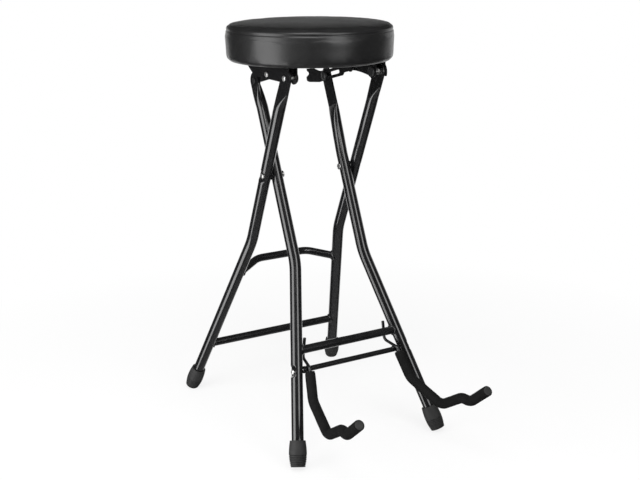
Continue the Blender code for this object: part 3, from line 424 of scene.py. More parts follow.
FINISH = {
    "black_tube": powder_coat("powder coated tube", 0.18, 0.75),
    "black_wire": powder_coat("painted wire", 0.30, 0.6),
    "zinc_steel": plated_steel("zinc plated steel"),
    "black_rubber": moulded(
        "moulded rubber", (45.0, 300.0), (grey(0.011), grey(0.020)), wear=(0.0008, 0.5, 0.08),
        rough=(0.58, 0.78), grain=(1100.0, 3.0), depth=(0.00012, 0.7), dust=0.12),
    "black_plastic": moulded(
        "moulded plastic", (70.0, 500.0), ((0.010, 0.010, 0.011, 1), (0.020, 0.020, 0.021, 1)),
        wear=(0.0004, 0.6, 0.07), rough=(0.34, 0.48), grain=(1700.0, 2.0), depth=(0.00006, 0.6)),
    "black_foam": closed_foam("closed cell foam"),
    "black_vinyl": grained_vinyl("grained vinyl"),
    "cushion_foam": closed_foam("cushion foam"),
    "seat_board": stained_plywood("stained plywood"),
}
for row in frame["record"]["subparts"]:
    solid = frame["nodes"][row["node"]]
    solid.data.materials.clear()
    solid.data.materials.append(FINISH[row["material_slot"]])


# Mesh building

def link_object(name, data):
    made = bpy.data.objects.new(name, data)
    bpy.context.collection.objects.link(made)
    return made


def new_object(name, bm, *materials):
    mesh = bpy.data.meshes.new(name)
    bm.to_mesh(mesh)
    bm.free()
    for made in materials:
        mesh.materials.append(made)
    return link_object(name, mesh)


def add_piece(name, bm, slot, body, nodes=(), sharp=35):
    bmesh.ops.recalc_face_normals(bm, faces=bm.faces)
    piece = new_object(name, bm, FINISH[slot])
    piece.data.shade_smooth()
    piece.data.set_sharp_from_angle(angle=radians(sharp))
    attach(piece, body)
    if nodes:
        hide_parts(*nodes)
    return piece


def join(bm, lower, upper):
    # Quads between two closed rings of vertices.
    for k in range(len(lower)):
        after = (k + 1) % len(lower)
        bm.faces.new((lower[k], lower[after], upper[after], upper[k]))


def turns(count, shift=0):
    # Evenly spaced angles round a circle.
    return [2 * pi * (k + shift) / count for k in range(count)]


def heading(turn):
    return Vector((cos(turn), sin(turn), 0))


def add_rings(bm, rings, closed=False):
    # Joins rings of points in turn; open runs get an end face at each end.
    made = [[bm.verts.new(point) for point in ring] for ring in rings]
    for lower, upper in zip(made, made[1:]):
        join(bm, lower, upper)
    if closed:
        join(bm, made[-1], made[0])
    else:
        bm.faces.new(made[0][::-1])
        bm.faces.new(made[-1])
    return bm


def frames_along(path, normal=None, closed=False):
    # Place and two cross directions at each point; without a plane's normal they are carried along.
    frames = []
    count = len(path)
    over = None
    for k, point in enumerate(path):
        before = path[k - 1] if closed or k else point
        after = path[(k + 1) % count] if closed or k < count - 1 else point
        tangent = (after - before).normalized()
        side = (normal or over or tangent.orthogonal()).cross(tangent).normalized()
        over = tangent.cross(side)
        frames.append((point, side, over, tangent))
    return frames


def ring_at(place, radius, sides):
    point, side, over, _ = place
    return [point + radius * (cos(turn) * side + sin(turn) * over) for turn in turns(sides)]


def add_bead(bm, path, swell, place=Matrix()):
    # A closed weld bead along a path; swell gives its thickness by number and point.
    add_rings(bm, [[place @ point for point in ring_at(spot, swell(k, spot[0]), 10)]
                   for k, spot in enumerate(frames_along(path, closed=True))], closed=True)


def spun(outline, segments=40, shape=None):
    # Spins (radius, height) points about Z; shape may change a radius by its angle and its place in the list.
    bm = bmesh.new()
    rings = []
    for place, (radius, height) in enumerate(outline):
        if radius < 1e-7:
            rings.append([bm.verts.new((0, 0, height))])
            continue
        ring = []
        for turn in turns(segments):
            reach = shape(radius, turn, place) if shape else radius
            ring.append(bm.verts.new((reach * cos(turn), reach * sin(turn), height)))
        rings.append(ring)
    for upper, lower in zip(rings, rings[1:]):
        if len(upper) == len(lower) == 1:
            continue
        for k in range(segments):
            pairs = ((upper, k), (lower, k), (lower, k + 1), (upper, k + 1))
            bm.faces.new(tuple(dict.fromkeys(ring[number % len(ring)] for ring, number in pairs)))
    return bm


def rounded(corners, radii, steps):
    # A flat path through corner points, each inner corner replaced by an arc of its own radius.
    path = [Vector(corners[0])]
    for before, corner, after, radius in zip(corners, corners[1:], corners[2:], radii):
        here = Vector(corner)
        back = (Vector(before) - here).normalized()
        ahead = (Vector(after) - here).normalized()
        half = back.angle(ahead) / 2
        middle = here + (back + ahead).normalized() * radius / sin(half)
        start = here + back * radius / tan(half) - middle
        stop = here + ahead * radius / tan(half) - middle
        first = atan2(start.y, start.x)
        sweep = (atan2(stop.y, stop.x) - first + pi) % (2 * pi) - pi
        for k in range(steps + 1):
            turn = first + sweep * k / steps
            path.append(middle + radius * heading(turn).xy)
    path.append(Vector(corners[-1]))
    return path


def evened(path, step):
    # The same run with points no further apart than a step.
    points = [path[0]]
    for start, stop in zip(path, path[1:]):
        parts = max(1, ceil((stop - start).length / step))
        points += [start.lerp(stop, k / parts) for k in range(1, parts + 1)]
    return points


def arc_points(centre, radius, start, stop, steps):
    arc = [start + (stop - start) * k / steps for k in range(steps + 1)]
    return [(centre[0] + radius * cos(turn), centre[1] + radius * sin(turn)) for turn in arc]


# Legs

def within(value):
    return min(max(value, 0), 1)


def smooth_step(value):
    held = within(value)
    return held * held * (3 - 2 * held)


def leg_line(leg, z):
    # How far out the leg's axis is, and its slope, at a height above the pivot.
    low = z + leg["bend_drop"] + BEND_HALF_LENGTH
    if low <= 0:
        return leg["upper_x"] + leg["slope"] * (z + leg["bend_drop"]), leg["slope"]
    left = max(2 * BEND_HALF_LENGTH - low, 0)
    ease = left / (2 * BEND_HALF_LENGTH)
    return leg["upper_x"] - leg["slope"] * ease * left / 2, leg["slope"] * ease


def leg_section(leg, z, side, sides=48):
    # Round tube, pressed in where a fastener's head sinks, squeezed between two slopes into the flat eye.
    x, slope = leg_line(leg, z)
    outward = Vector((1, 0, -slope)).normalized()
    above = z - leg["top"] + leg["eye_length"]
    flat = within((above + leg["press"]) / leg["press"])
    widen = max((flat - 0.3) / 0.7, 0) ** 1.6
    centre = leg["eye_offset"] * within((above + leg["settle"]) / leg["settle"])
    room = leg["start"] * TUBE_RADIUS * (1 - flat) + EYE_HALF_THICKNESS * flat
    corner = leg["corner"]
    crimp = smooth_step((CRIMP_HALF_LENGTH + CRIMP_RUN - abs(z - leg["crimp"])) / CRIMP_RUN)
    limit = TUBE_RADIUS - CRIMP_DEPTH * crimp
    half_width = sqrt(max(leg["eye_half_width"] ** 2 - max(z - leg["top"], 0) ** 2, 1e-8))
    ring = []
    for turn in turns(sides, 0.5):
        round_out = min(TUBE_RADIUS * cos(turn), limit)
        pressed = round_out * (1 + abs(round_out / room) ** corner) ** (-1 / corner)
        out = round_out + (pressed - round_out) * min(flat * 8, 1) + centre
        across = (TUBE_RADIUS + (half_width - TUBE_RADIUS) * widen) * sin(turn)
        point = Vector((x, 0, z)) + outward * out + Vector((0, across, 0))
        ring.append(leg["place"] @ Vector((side * point.x, point.y, point.z)))
    return ring


def add_leg(name, side, leg, body, node):
    # Sections stand close together near the crimp, the bend and the eye.
    high = leg["top"] + 0.992 * leg["eye_half_width"]
    close = [leg["crimp"], -leg["bend_drop"], leg["top"] - leg["eye_length"], leg["top"] + leg["eye_half_width"]]
    places, z = [], FOOT_SOLE - LEG_REACH
    while z < high:
        places.append(z)
        nearest = min(abs(z - spot) for spot in close)
        z += 0.0011 if nearest < 0.022 else 0.002 if nearest < 0.06 else 0.012
    places.append(high)
    bm = add_rings(bmesh.new(), [leg_section(leg, z, side) for z in places])
    add_piece(name, bm, "black_tube", body, [node], sharp=50)


# Feet

def foot_outline():
    # Rim, slightly swelling side, fine rings round the lower half, and the sole.
    bore, rim = TUBE_RADIUS + GAP, FOOT_HEIGHT - FOOT_EDGE
    outline = [(0, FOOT_SOLE), (bore, FOOT_SOLE), (bore, rim), (0.0117, FOOT_HEIGHT), (0.0136, FOOT_HEIGHT)]
    outline += arc_points((0.0134, rim), FOOT_EDGE, pi / 2, 0, 5)
    for k in range(1, 9):
        share = k / 8
        outline.append((0.0142 + 0.0020 * sin(pi / 2 * share) ** 0.9, rim - share * 0.0232))
    height = FOOT_RING_TOP
    while height > 0.0036:
        for drop, cut in ((0, 0), (0.0009, 0), (0.0011, 0.0006), (0.0016, 0.0015), (0.0021, 0.0006), (0.0023, 0)):
            here = height - drop
            outline.append((0.0131 + 0.0031 * sin(pi / 2 * here / FOOT_RING_TOP) - cut, here))
        height -= FOOT_RING_STEP
    outline += arc_points((0.0125, 0.0012), 0.0010, 0, -pi / 2, 4)
    return outline + [(0.0080, 0.0002), (0, 0)]


def add_foot(name, side, leg, body, node):
    bm = spun(foot_outline(), 64)
    turn = Matrix.Rotation(side * atan(leg["slope"]), 4, "Y")
    bm.transform(leg["place"] @ Matrix.Translation((side * leg["foot_x"], 0, -LEG_REACH)) @ turn)
    for vertex in bm.verts:
        vertex.co.z = max(vertex.co.z, 0)
    add_piece(name, bm, "black_rubber", body, [node])


# Cross bars and weld beads

def bar_run(leg, drop, bulge):
    # The bar's centre line in its leg's frame, from leg to leg.
    x = leg_line(leg, -drop)[0] - BAR_SHORT
    if not bulge:
        return evened([Vector((-x, 0, -drop)), Vector((x, 0, -drop))], 0.012)
    corners = [(-x, 0), (-BAR_FLAT, bulge), (BAR_FLAT, bulge), (x, 0)]
    return evened([Vector((p.x, p.y, -drop)) for p in rounded(corners, (BAR_BEND, BAR_BEND), 20)], 0.012)


def add_bar(name, node, leg, drop, radius, bulge, body):
    rings = [[leg["place"] @ point for point in ring_at(place, radius, 40)]
             for place in frames_along(bar_run(leg, drop, bulge), UP)]
    add_piece(name, add_rings(bmesh.new(), rings), "black_tube", body, [node])


def meet_leg(start, direction, leg, drop, side, reach):
    # First point down a straight line that lies on the round of a leg.
    x, slope = leg_line(leg, -drop)
    axis = Vector((side * slope, 0, 1)).normalized()
    offset = start - Vector((side * x, 0, -drop))
    across = offset - axis * offset.dot(axis)
    moving = direction - axis * direction.dot(axis)
    a, b, c = moving.length_squared, across.dot(moving), across.length_squared - reach ** 2
    return start + direction * (-b - sqrt(max(b * b - a * c, 0))) / a


def add_bar_welds(name, _, leg, drop, radius, bulge, body):
    # A rippled bead round each end of a bar.
    run = bar_run(leg, drop, bulge)
    bm = bmesh.new()
    for side, end, inner in ((-1, run[0], run[2]), (1, run[-1], run[-3])):
        direction = (end - inner).normalized()
        across = direction.cross(UP).normalized()
        up = across.cross(direction)
        path = []
        for turn in turns(72):
            start = inner + (radius + 0.0007) * (cos(turn) * across + sin(turn) * up)
            path.append(meet_leg(start, direction, leg, drop, side, TUBE_RADIUS + 0.0005))
        add_bead(bm, path, lambda k, point: (
            0.00165 + 0.00022 * sin(k * pi / 1.8) + 0.0003 * noise.noise(point * 300)), leg["place"])
    add_piece(name + "_welds", bm, "black_tube", body)


# Fasteners, spun about X

def crown(radius, height, start, direction):
    # A low round head from its rim to its middle, with a small square edge.
    rim = [(radius, start), (radius, start + direction * 0.18 * height)]
    for k in range(1, 9):
        turn = pi / 2 * k / 8
        rim.append((radius * cos(turn), start + direction * height * (0.18 + 0.82 * sin(turn))))
    return rim


def band(bore, face, rim, low, high, bevel):
    # A ring's section: bore, flat faces and a bevelled rim.
    outside = [(face, low), (rim, low + bevel), (rim, high - bevel), (face, high)]
    return [(bore, low)] + outside + [(bore, high), (bore, low)]


def nut_outline(radius, start, stop):
    return band(BOLT_BORE, 0.90 * radius, radius, start, stop, 0.12 * (stop - start))


def nut_shape(rim):
    # Six flats on a nut outline's rim, and on its faces where they reach past the flats.
    def shape(radius, turn, place):
        hexagon = rim * cos(pi / 6) / cos((turn + pi / 6) % (pi / 3) - pi / 6)
        return {1: min(hexagon, radius), 2: hexagon, 3: hexagon, 4: min(hexagon, radius)}.get(place, radius)
    return shape


def threaded(radius, start, stop):
    # Thread crests and roots, from the far end back to the start.
    outline, at = [], start
    while at < stop - THREAD_PITCH:
        outline += [(radius, at), (radius - THREAD_DEPTH, at + THREAD_PITCH / 2)]
        at += THREAD_PITCH
    return outline[::-1]


def add_turned(kind, side, tag, outline, place, slot, body, nut_radius=None):
    # Spins an outline about X on one side of the stool; a nut gets its six flats.
    bm = spun(outline, 96, nut_shape(nut_radius)) if nut_radius else spun(outline)
    bm.transform(Matrix.Translation(place) @ Matrix.Rotation(side * pi / 2, 4, "Y"))
    name = kind + ("_faceted_" if nut_radius else "_turned_") + tag
    add_piece(name, bm, slot, body, [kind + "_" + tag])


def add_cross_bolts():
    head = OUTER_X + TUBE_RADIUS - CRIMP_DEPTH + GAP
    tip = INNER_X - TUBE_RADIUS - GAP - CROSS_NUT_HEIGHT
    bolt = crown(BOLT_HEAD, 0.0020, head, 1)[::-1] + [(BOLT_RADIUS, head), (BOLT_RADIUS, tip + 0.004)]
    bolt += threaded(BOLT_RADIUS, tip + 0.0002, tip + 0.004) + [(0.0030, tip), (0, tip)]
    nut = nut_outline(CROSS_NUT_RADIUS, tip, tip + CROSS_NUT_HEIGHT)
    washer = band(BOLT_BORE, 0.0081, WASHER_RADIUS, INNER_X + TUBE_RADIUS + GAP, OUTER_X - TUBE_RADIUS - GAP, 0.0002)
    for side, tag in SIDES:
        add_turned("cross_bolt", side, tag, bolt, PIVOT, "zinc_steel", "outer_frame")
        add_turned("cross_nut", side, tag, nut, PIVOT, "zinc_steel", "outer_frame", CROSS_NUT_RADIUS)
        add_turned("cross_washer", side, tag, washer, PIVOT, "black_plastic", "outer_frame")


def add_seat_pins():
    wall_in = OUTER_X + OUTER_LEG["eye_offset"] + EYE_HALF_THICKNESS + GAP
    head = wall_in + WALL_THICKNESS + GAP
    nut_out = wall_in - 0.0030 - 2 * GAP
    cap_out = wall_in - CHANNEL_WIDTH - WALL_THICKNESS - GAP
    cap_in = cap_out - CAP_HEIGHT
    floor, end = cap_in + CAP_EDGE, cap_in + 0.0015
    tip = INNER_X + INNER_LEG["eye_offset"] - EYE_HALF_THICKNESS
    pin = crown(BOLT_HEAD, PIN_HEAD_HEIGHT, head, 1)[::-1] + [(BOLT_RADIUS, head), (BOLT_RADIUS, end), (0, end)]
    nut = nut_outline(FRONT_NUT_RADIUS, nut_out - FRONT_NUT_HEIGHT, nut_out)
    cap = [(0, floor), (BOLT_BORE, floor), (BOLT_BORE, cap_out), (CAP_RADIUS, cap_out)]
    cap += arc_points((CAP_RADIUS - CAP_EDGE, floor), CAP_EDGE, 0, -pi / 2, 6)
    cap += [(0.004, cap_in - 0.0001), (0, cap_in)]
    link_pin = crown(SMALL_HEAD, PIN_HEAD_HEIGHT, head, 1)[::-1]
    link_pin += [(LINK_PIN_RADIUS, head), (LINK_PIN_RADIUS, tip + 0.0003), (0.0026, tip), (0, tip)]
    for side, tag in SIDES:
        add_turned("front_pin", side, tag, pin, FRONT_PIN, "zinc_steel", "seat")
        add_turned("front_nut", side, tag, nut, FRONT_PIN, "zinc_steel", "seat", FRONT_NUT_RADIUS)
        add_turned("front_cap", side, tag, cap, FRONT_PIN, "black_plastic", "seat")
        add_turned("link_pin", side, tag, link_pin, LINK_PIN, "zinc_steel", "seat")


def add_frame_pins():
    eye = INNER_X + INNER_LEG["eye_offset"]
    tail = eye + EYE_HALF_THICKNESS + GAP
    start = eye - EYE_HALF_THICKNESS - GAP - LINK_THICKNESS - GAP
    rivet = [(0, tail + 0.0018), (0.0050, tail + 0.0018), (RIVET_TAIL, tail + 0.0012), (RIVET_TAIL, tail)]
    rivet += [(RIVET_RADIUS, tail), (RIVET_RADIUS, start)] + crown(RIVET_HEAD, 0.0058, start, -1)
    place = INNER_LEG["place"] @ Vector((0, 0, INNER_LEG["top"]))
    for side, tag in SIDES:
        add_turned("link_rivet", side, tag, rivet, place, "black_plastic", "inner_frame")
        inner, outer = sorted(abs(corner.x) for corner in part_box("rod_screw_" + tag))
        head = outer - 0.0026
        screw = crown(SMALL_HEAD, 0.0034, head, 1)[::-1] + [(ROD_SCREW_RADIUS, head)]
        screw += [(ROD_SCREW_RADIUS, inner + 0.0003), (0.0023, inner), (0, inner)]
        add_turned("rod_screw", side, tag, screw, ROD_CENTRE, "zinc_steel", "inner_frame")


# Cradle

def arm_point(side, flat):
    # From (ahead, up) in an arm's own slanting plane to the stool.
    start = leg_line(INNER_LEG, -ROD_DROP)[0] - ARM_INSET
    x = start + flat.x * sin(ARM_TOE_OUT) - flat.y * ARM_SPLAY
    return ROD_CENTRE + Vector((side * x, -flat.x * cos(ARM_TOE_OUT), flat.y))


def arm_frames(side, flat):
    origin = arm_point(side, Vector((0, 0)))
    up = arm_point(side, Vector((0, 1))) - origin
    ahead = arm_point(side, Vector((1, 0))) - origin
    return frames_along([arm_point(side, point) for point in flat], up.cross(ahead).normalized())


def add_arm_wire(side, tag):
    corners = [(-PRONG_BACK, PRONG_RISE), (-PRONG_BACK, HEEL_UP), tuple(SHOULDER)] + ARM_CORNERS
    frames = arm_frames(side, evened(rounded(corners, PRONG_BENDS + ARM_BENDS, 10), 0.008))
    point, across, over, tangent = frames[0]
    tip = [(point + (0.0008 - rise) * tangent, across, over, tangent) for rise in (0.0008, 0.0005, 0.0)]
    rings = [ring_at(place, WIRE_RADIUS * share, 20) for place, share in zip(tip, (0.70, 0.90, 1.0))]
    rings += [ring_at(place, WIRE_RADIUS, 20) for place in frames[1:]]
    add_piece("arm_wire_" + tag, add_rings(bmesh.new(), rings), "black_wire", "cradle", ["cradle_arm_" + tag])


def add_arm_sleeve(side, tag):
    # A foam tube: its skin swells a little between bends and wrinkles inside them.
    run = (Vector(ARM_CORNERS[0]) - SHOULDER).normalized()
    flat = evened(rounded([tuple(SHOULDER + SLEEVE_START * run)] + ARM_CORNERS, ARM_BENDS, 16), 0.0016)
    frames = arm_frames(side, flat)
    point, across, over, tangent = frames[-1]
    tips = [(0.5, 1.0), (0.88, 1.0)]
    tips += [(0.90 + 0.10 * sin(t), 0.945 + 0.055 * cos(t)) for t in (0.5, 1.0, 1.5)] + [(0.995, 0.90)]
    body = [(place, 1.0) for place in frames]
    body += [((point + share * SLEEVE_TIP * tangent, across, over, tangent), width) for share, width in tips]
    rings = [ring_at(frames[0], WIRE_RADIUS + GAP, 32), ring_at(frames[0], SLEEVE_RADIUS - 0.0011, 32)]
    for k, (place, width) in enumerate(body):
        ease = min(1.0, 0.90 + 0.033 * k)
        before, after = body[max(k - 4, 0)][0][3], body[min(k + 4, len(body) - 1)][0][3]
        bend = before.angle(after)
        inner = (after - before).normalized() if bend > 0.01 else Vector((0, 0, 0))
        ring = []
        for spot in ring_at(place, SLEEVE_RADIUS * width * ease, 32):
            out = (spot - place[0]).normalized()
            pinch = max(out.dot(inner), 0) * min(bend * 2.2, 1)
            wrinkle = pinch * 0.00045 * (sin(k * 1.15) - 0.4)
            lump = 0.00022 * noise.noise(spot * 55) + 0.00012 * noise.noise(spot * 210)
            ring.append(spot + out * (wrinkle + lump))
        rings.append(ring)
    bm = add_rings(bmesh.new(), rings)
    piece = add_piece("arm_sleeve_" + tag, bm, "black_foam", "cradle", ["foam_sleeve_" + tag], sharp=50)
    # A smooth round plug closes the sleeve's end.
    rings = [ring_at((point + (SLEEVE_TIP + ahead) * tangent, across, over, tangent), reach, 32)
             for ahead, reach in PLUG_SHAPE]
    add_piece("sleeve_plug_" + tag, add_rings(bmesh.new(), rings), "black_rubber", "cradle", sharp=30)


def add_cradle_rod():
    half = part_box("cradle_rod")[1].x
    face, rim = ROD_RADIUS - ROD_BEVEL, half - ROD_BEVEL
    bm = spun([(0, half), (face, half)] + [(ROD_RADIUS, x) for x in (rim, 0.5 * half, 0, -0.5 * half, -rim)]
              + [(face, -half), (0, -half)])
    bm.transform(Matrix.Translation(ROD_CENTRE) @ Matrix.Rotation(pi / 2, 4, "Y"))
    add_piece("rod_turned", bm, "black_tube", "cradle", ["cradle_rod"])
    collar = band(0.0053, 0.0062, COLLAR_RADIUS, half - COLLAR_LENGTH, half, 0.0004)
    for side, tag in SIDES:
        add_turned("rod_collar", side, tag, collar, ROD_CENTRE, "black_tube", "cradle")


def add_arm_welds():
    # A lumpy bead round each place where an arm's wire lies on the rod.
    bm = bmesh.new()
    for side, _ in SIDES:
        centre = arm_point(side, Vector((0, ROD_RADIUS + 0.0004)))
        path = []
        for turn in turns(48):
            along = Vector((cos(turn) * 0.0036, sin(turn) * 0.0028, 0))
            path.append(centre + along - UP * (0.0004 + 0.22 * abs(along.y)))
        add_bead(bm, path, lambda k, point: 0.0013 + 0.00018 * sin(k * pi / 2) + 0.0003 * noise.noise(point * 350))
    add_piece("arm_welds", bm, "black_wire", "cradle")


# Seat

def curve_through(points, share):
    # A smooth curve through the profile's points at a share of its length.
    lengths = [0.0]
    for start, stop in zip(points, points[1:]):
        lengths.append(lengths[-1] + dist(start, stop))
    at = share * lengths[-1]
    k = max(i for i in range(len(points) - 1) if lengths[i] <= at + 1e-12)
    part = (at - lengths[k]) / (lengths[k + 1] - lengths[k])
    near = (points[min(max(i, 0), len(points) - 1)] for i in (k - 1, k, k + 1, k + 2))
    return tuple(
        0.5 * (2 * b + (c - a) * part + (2 * a - 5 * b + 4 * c - d) * part ** 2 + (3 * b - a - 3 * c + d) * part ** 3)
        for a, b, c, d in zip(*near))


def cushion_outline():
    # Crown, shoulder and side, then under the board's edge and back up inside to close the pad.
    form = [(out * (SEAT_RADIUS - GAP), up * (SEAT_THICKNESS - GAP)) for out, up in SEAT_SHARES]
    shares = [0.60 * k / 26 for k in range(26)] + [0.60 + 0.22 * k / 36 for k in range(36)]
    outline = [curve_through(form, share) for share in shares + [0.82 + 0.18 * k / 14 for k in range(15)]]
    outline += [(0.1480, -0.0005), (0.1470, -0.0013), (0.1460, HEM), (0.1440, HEM), (0.1439, -0.0004)]
    outline += [(0.1440, 0.0030)]
    return outline + [(radius, BOARD_THICKNESS + GAP) for radius in (0.1440, 0.1300, 0.0900, 0.0400, 0)]


def stuff_cushion(piece):
    # Air pressure swells the cover over its foam; the skirt round the board is held.
    group = piece.vertex_groups.new(name="held")
    before = [vertex.co.copy() for vertex in piece.data.vertices]
    for index, spot in enumerate(before):
        height = (spot - SEAT_CENTRE).z
        weight = 1.0 if height < HELD_HEIGHT else smooth_step((0.020 - height) / 0.010)
        if weight > 0:
            group.add([index], weight, "REPLACE")
    cloth = piece.modifiers.new("stuffing", "CLOTH")
    for name, value in CLOTH.items():
        setattr(cloth.settings, name, value)
    cloth.settings.effector_weights.gravity = 0
    cloth.settings.vertex_group_mass = group.name
    cloth.collision_settings.use_collision = False
    cloth.point_cache.frame_start = 1
    cloth.point_cache.frame_end = 20
    scene = bpy.context.scene
    for number in range(1, 21):
        scene.frame_set(number)
    solved = piece.evaluated_get(bpy.context.evaluated_depsgraph_get())
    after = [vertex.co.copy() for vertex in solved.data.vertices]
    piece.modifiers.remove(cloth)
    scene.frame_set(1)
    for vertex, start, stop in zip(piece.data.vertices, before, after):
        move = stop - start
        if move.length > SWELL_LIMIT:
            move = move.normalized() * SWELL_LIMIT
        vertex.co = start + move


def bell(value, middle, width):
    return exp(-((value - middle) / width) ** 2)


def shape_cover(piece):
    # The roll round the top edge between its two creases, and soft gathers above the hem.
    for vertex in piece.data.vertices:
        spot = vertex.co - SEAT_CENTRE
        radius, height = hypot(spot.x, spot.y), spot.z
        if height < HELD_HEIGHT and radius < 0.1450:
            continue
        turn = atan2(spot.y, spot.x)
        outward = Vector((spot.x, spot.y, 0)).normalized()
        wave = 0.0005 * noise.noise(Vector((cos(turn) * 3, sin(turn) * 3, 0.4)))
        # The foam stands a little fuller on one side.
        fuller = max(spot.x * 0.77 + spot.y * 0.64, 0) / SEAT_RADIUS
        vertex.co.z += 0.0011 * fuller * smooth_step((height - 0.040) / 0.018)
        if height > 0.055:
            vertex.co.z -= 0.0012 * bell(radius, CREASE_RADIUS + wave, 0.0016)
        if radius > 0.140:
            seam = bell(height, SEAM_HEIGHT + wave, 0.0013)
            vertex.co += outward * (0.0003 * bell(height, ROLL_HEIGHT, 0.0024) - 0.0010 * seam)
            low = smooth_step((0.016 - height) / 0.014) * smooth_step((height + 0.001) / 0.003)
            ripple = sin(turn * 34 + 2.2 * sin(turn * 3)) + 0.6 * sin(turn * 21 + 1.0)
            vertex.co += outward * 0.00035 * low * ripple


def add_cushion():
    bm = spun(cushion_outline(), 144)
    bm.transform(Matrix.Translation(SEAT_CENTRE))
    bmesh.ops.recalc_face_normals(bm, faces=bm.faces)
    piece = new_object("cushion", bm, FINISH["black_vinyl"])
    stuff_cushion(piece)
    shape_cover(piece)
    smoother = piece.modifiers.new("finer", "SUBSURF")
    smoother.levels = smoother.render_levels = 1
    bpy.context.view_layer.objects.active = piece
    solved = bpy.data.meshes.new_from_object(piece.evaluated_get(bpy.context.evaluated_depsgraph_get()))
    piece.modifiers.clear()
    piece.data = solved
    piece.data.shade_smooth()
    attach(piece, "seat")
    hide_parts("seat_cover", "seat_foam")


def hem_reach(turn):
    # How far the cover turns in under the board: little where a bracket's nose passes below.
    reach = 0.0125 + 0.0011 * sin(turn * 13 + 0.7) + 0.0009 * sin(turn * 29)
    for centre in (-0.79, -2.35):
        apart = abs((turn - centre + pi) % (2 * pi) - pi)
        reach *= smooth_step((apart - 0.10) / 0.16)
    return max(reach, 0.0006)


def add_hem():
    # The cover's edge under the board, folded in overlapping pleats.
    rings = [[], [], [], []]
    for turn in turns(288):
        outward = heading(turn)
        reach = hem_reach(turn)
        pleat = 0.0004 * (0.5 + 0.5 * sin(turn * 44 + 1.6 * sin(turn * 5))) * min(reach / 0.008, 1)
        inner = BOARD_RADIUS - reach
        shape = ((0.1450, -0.0004), (inner, -0.0004), (inner, -0.0012 - pleat * 0.6), (0.1446, -0.0016 - pleat * 0.3))
        for ring, (radius, height) in zip(rings, shape):
            ring.append(SEAT_CENTRE + outward * radius + UP * height)
    add_piece("cover_hem", add_rings(bmesh.new(), rings, closed=True), "black_vinyl", "seat", sharp=60)


def add_staples():
    # Bent wire staples through the hem, none beside the brackets' noses.
    bm = bmesh.new()
    for k, turn in enumerate(turns(40, 0.5)):
        turn += 0.02 * sin(k * 2.3)
        if hem_reach(turn) < 0.009:
            continue
        outward = heading(turn)
        along = (Vector((-outward.y, outward.x, 0)) + outward * 0.25 * sin(k * 1.7)).normalized()
        middle = SEAT_CENTRE + outward * (BOARD_RADIUS - 0.0072) - UP * 0.0020
        path = [middle + along * out + UP * up for out, up in STAPLE_SHAPE]
        add_rings(bm, [ring_at(place, 0.00036, 8) for place in frames_along(path)])
    add_piece("hem_staples", bm, "zinc_steel", "seat")


def cross_recess(count):
    # Narrows the second and third last rings of an outline to a cross.
    def shape(radius, turn, place):
        narrow = {count - 3: 0.45, count - 2: 0.35}.get(place, 1)
        return radius * (narrow + (1 - narrow) * abs(cos(2 * turn)) ** 1.5)
    return shape


def add_board_screws():
    # Round heads with a cross recess, under the brackets' webs.
    for tag in ("left", "right"):
        for number in (1, 2):
            node = f"bracket_screw_{tag}_{number}"
            low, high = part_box(node)
            head = low.z + WOOD_SCREW_HEIGHT
            outline = [(0, high.z), (WOOD_SCREW_RADIUS, high.z - 0.0012)]
            outline += threaded(WOOD_SCREW_RADIUS, head + 0.0028, high.z - 0.0012) + [(0.0020, head)]
            outline += crown(WOOD_SCREW_HEAD, WOOD_SCREW_HEIGHT, head, -1)[:-1]
            outline += [(0.0016, low.z + 0.00002), (0.0013, low.z + 0.0008), (0, low.z + 0.0009)]
            bm = spun(outline, 48, cross_recess(len(outline)))
            bm.transform(Matrix.Translation(((low.x + high.x) / 2, (low.y + high.y) / 2, 0)))
            add_piece(f"board_screw_{tag}_{number}", bm, "zinc_steel", "seat", [node])


# The whole stool

for side, tag in SIDES:
    add_leg("outer_tube_" + tag, side, OUTER_LEG, "outer_frame", "outer_leg_" + tag)
    inner_leg = INNER_LEG if tag == "right" else PLAIN_INNER_LEG
    add_leg("inner_tube_" + tag, side, inner_leg, "inner_frame", "inner_leg_" + tag)
    add_foot("ringed_foot_rear_" + tag, side, OUTER_LEG, "outer_frame", "foot_rear_" + tag)
    add_foot("ringed_foot_front_" + tag, side, INNER_LEG, "inner_frame", "foot_front_" + tag)
    add_arm_wire(side, tag)
    add_arm_sleeve(side, tag)
for bar in BARS:
    add_bar(*bar)
for bar in BARS:
    add_bar_welds(*bar)
add_cradle_rod()
add_arm_welds()
add_cross_bolts()
add_seat_pins()
add_frame_pins()
add_board_screws()
add_cushion()
add_hem()
add_staples()


# Studio

def white_for_view(tree):
    # 1 for what the camera sees directly, in gloss or through glass, else 0.
    rays = add_node(tree, "LightPath").outputs
    seen = maths(tree, "MAXIMUM", rays["Is Camera Ray"], rays["Is Glossy Ray"])
    return maths(tree, "MAXIMUM", seen, rays["Is Transmission Ray"])


def build_world(level):
    world = bpy.data.worlds.new("studio")
    bpy.context.scene.world = world
    world.use_nodes = True
    tree = world.node_tree
    set_inputs(tree.nodes["Background"], {
        "Color": grey(1), "Strength": remap(tree, white_for_view(tree), 0, 1, level, 1.0)})


def studio_surface(name, level, rough):
    # Dull and without gloss.
    made, tree, surface = start_material(name)
    set_inputs(surface, {"Base Color": grey(level), "Roughness": rough, "Specular IOR Level": 0.0})
    return made, tree, surface


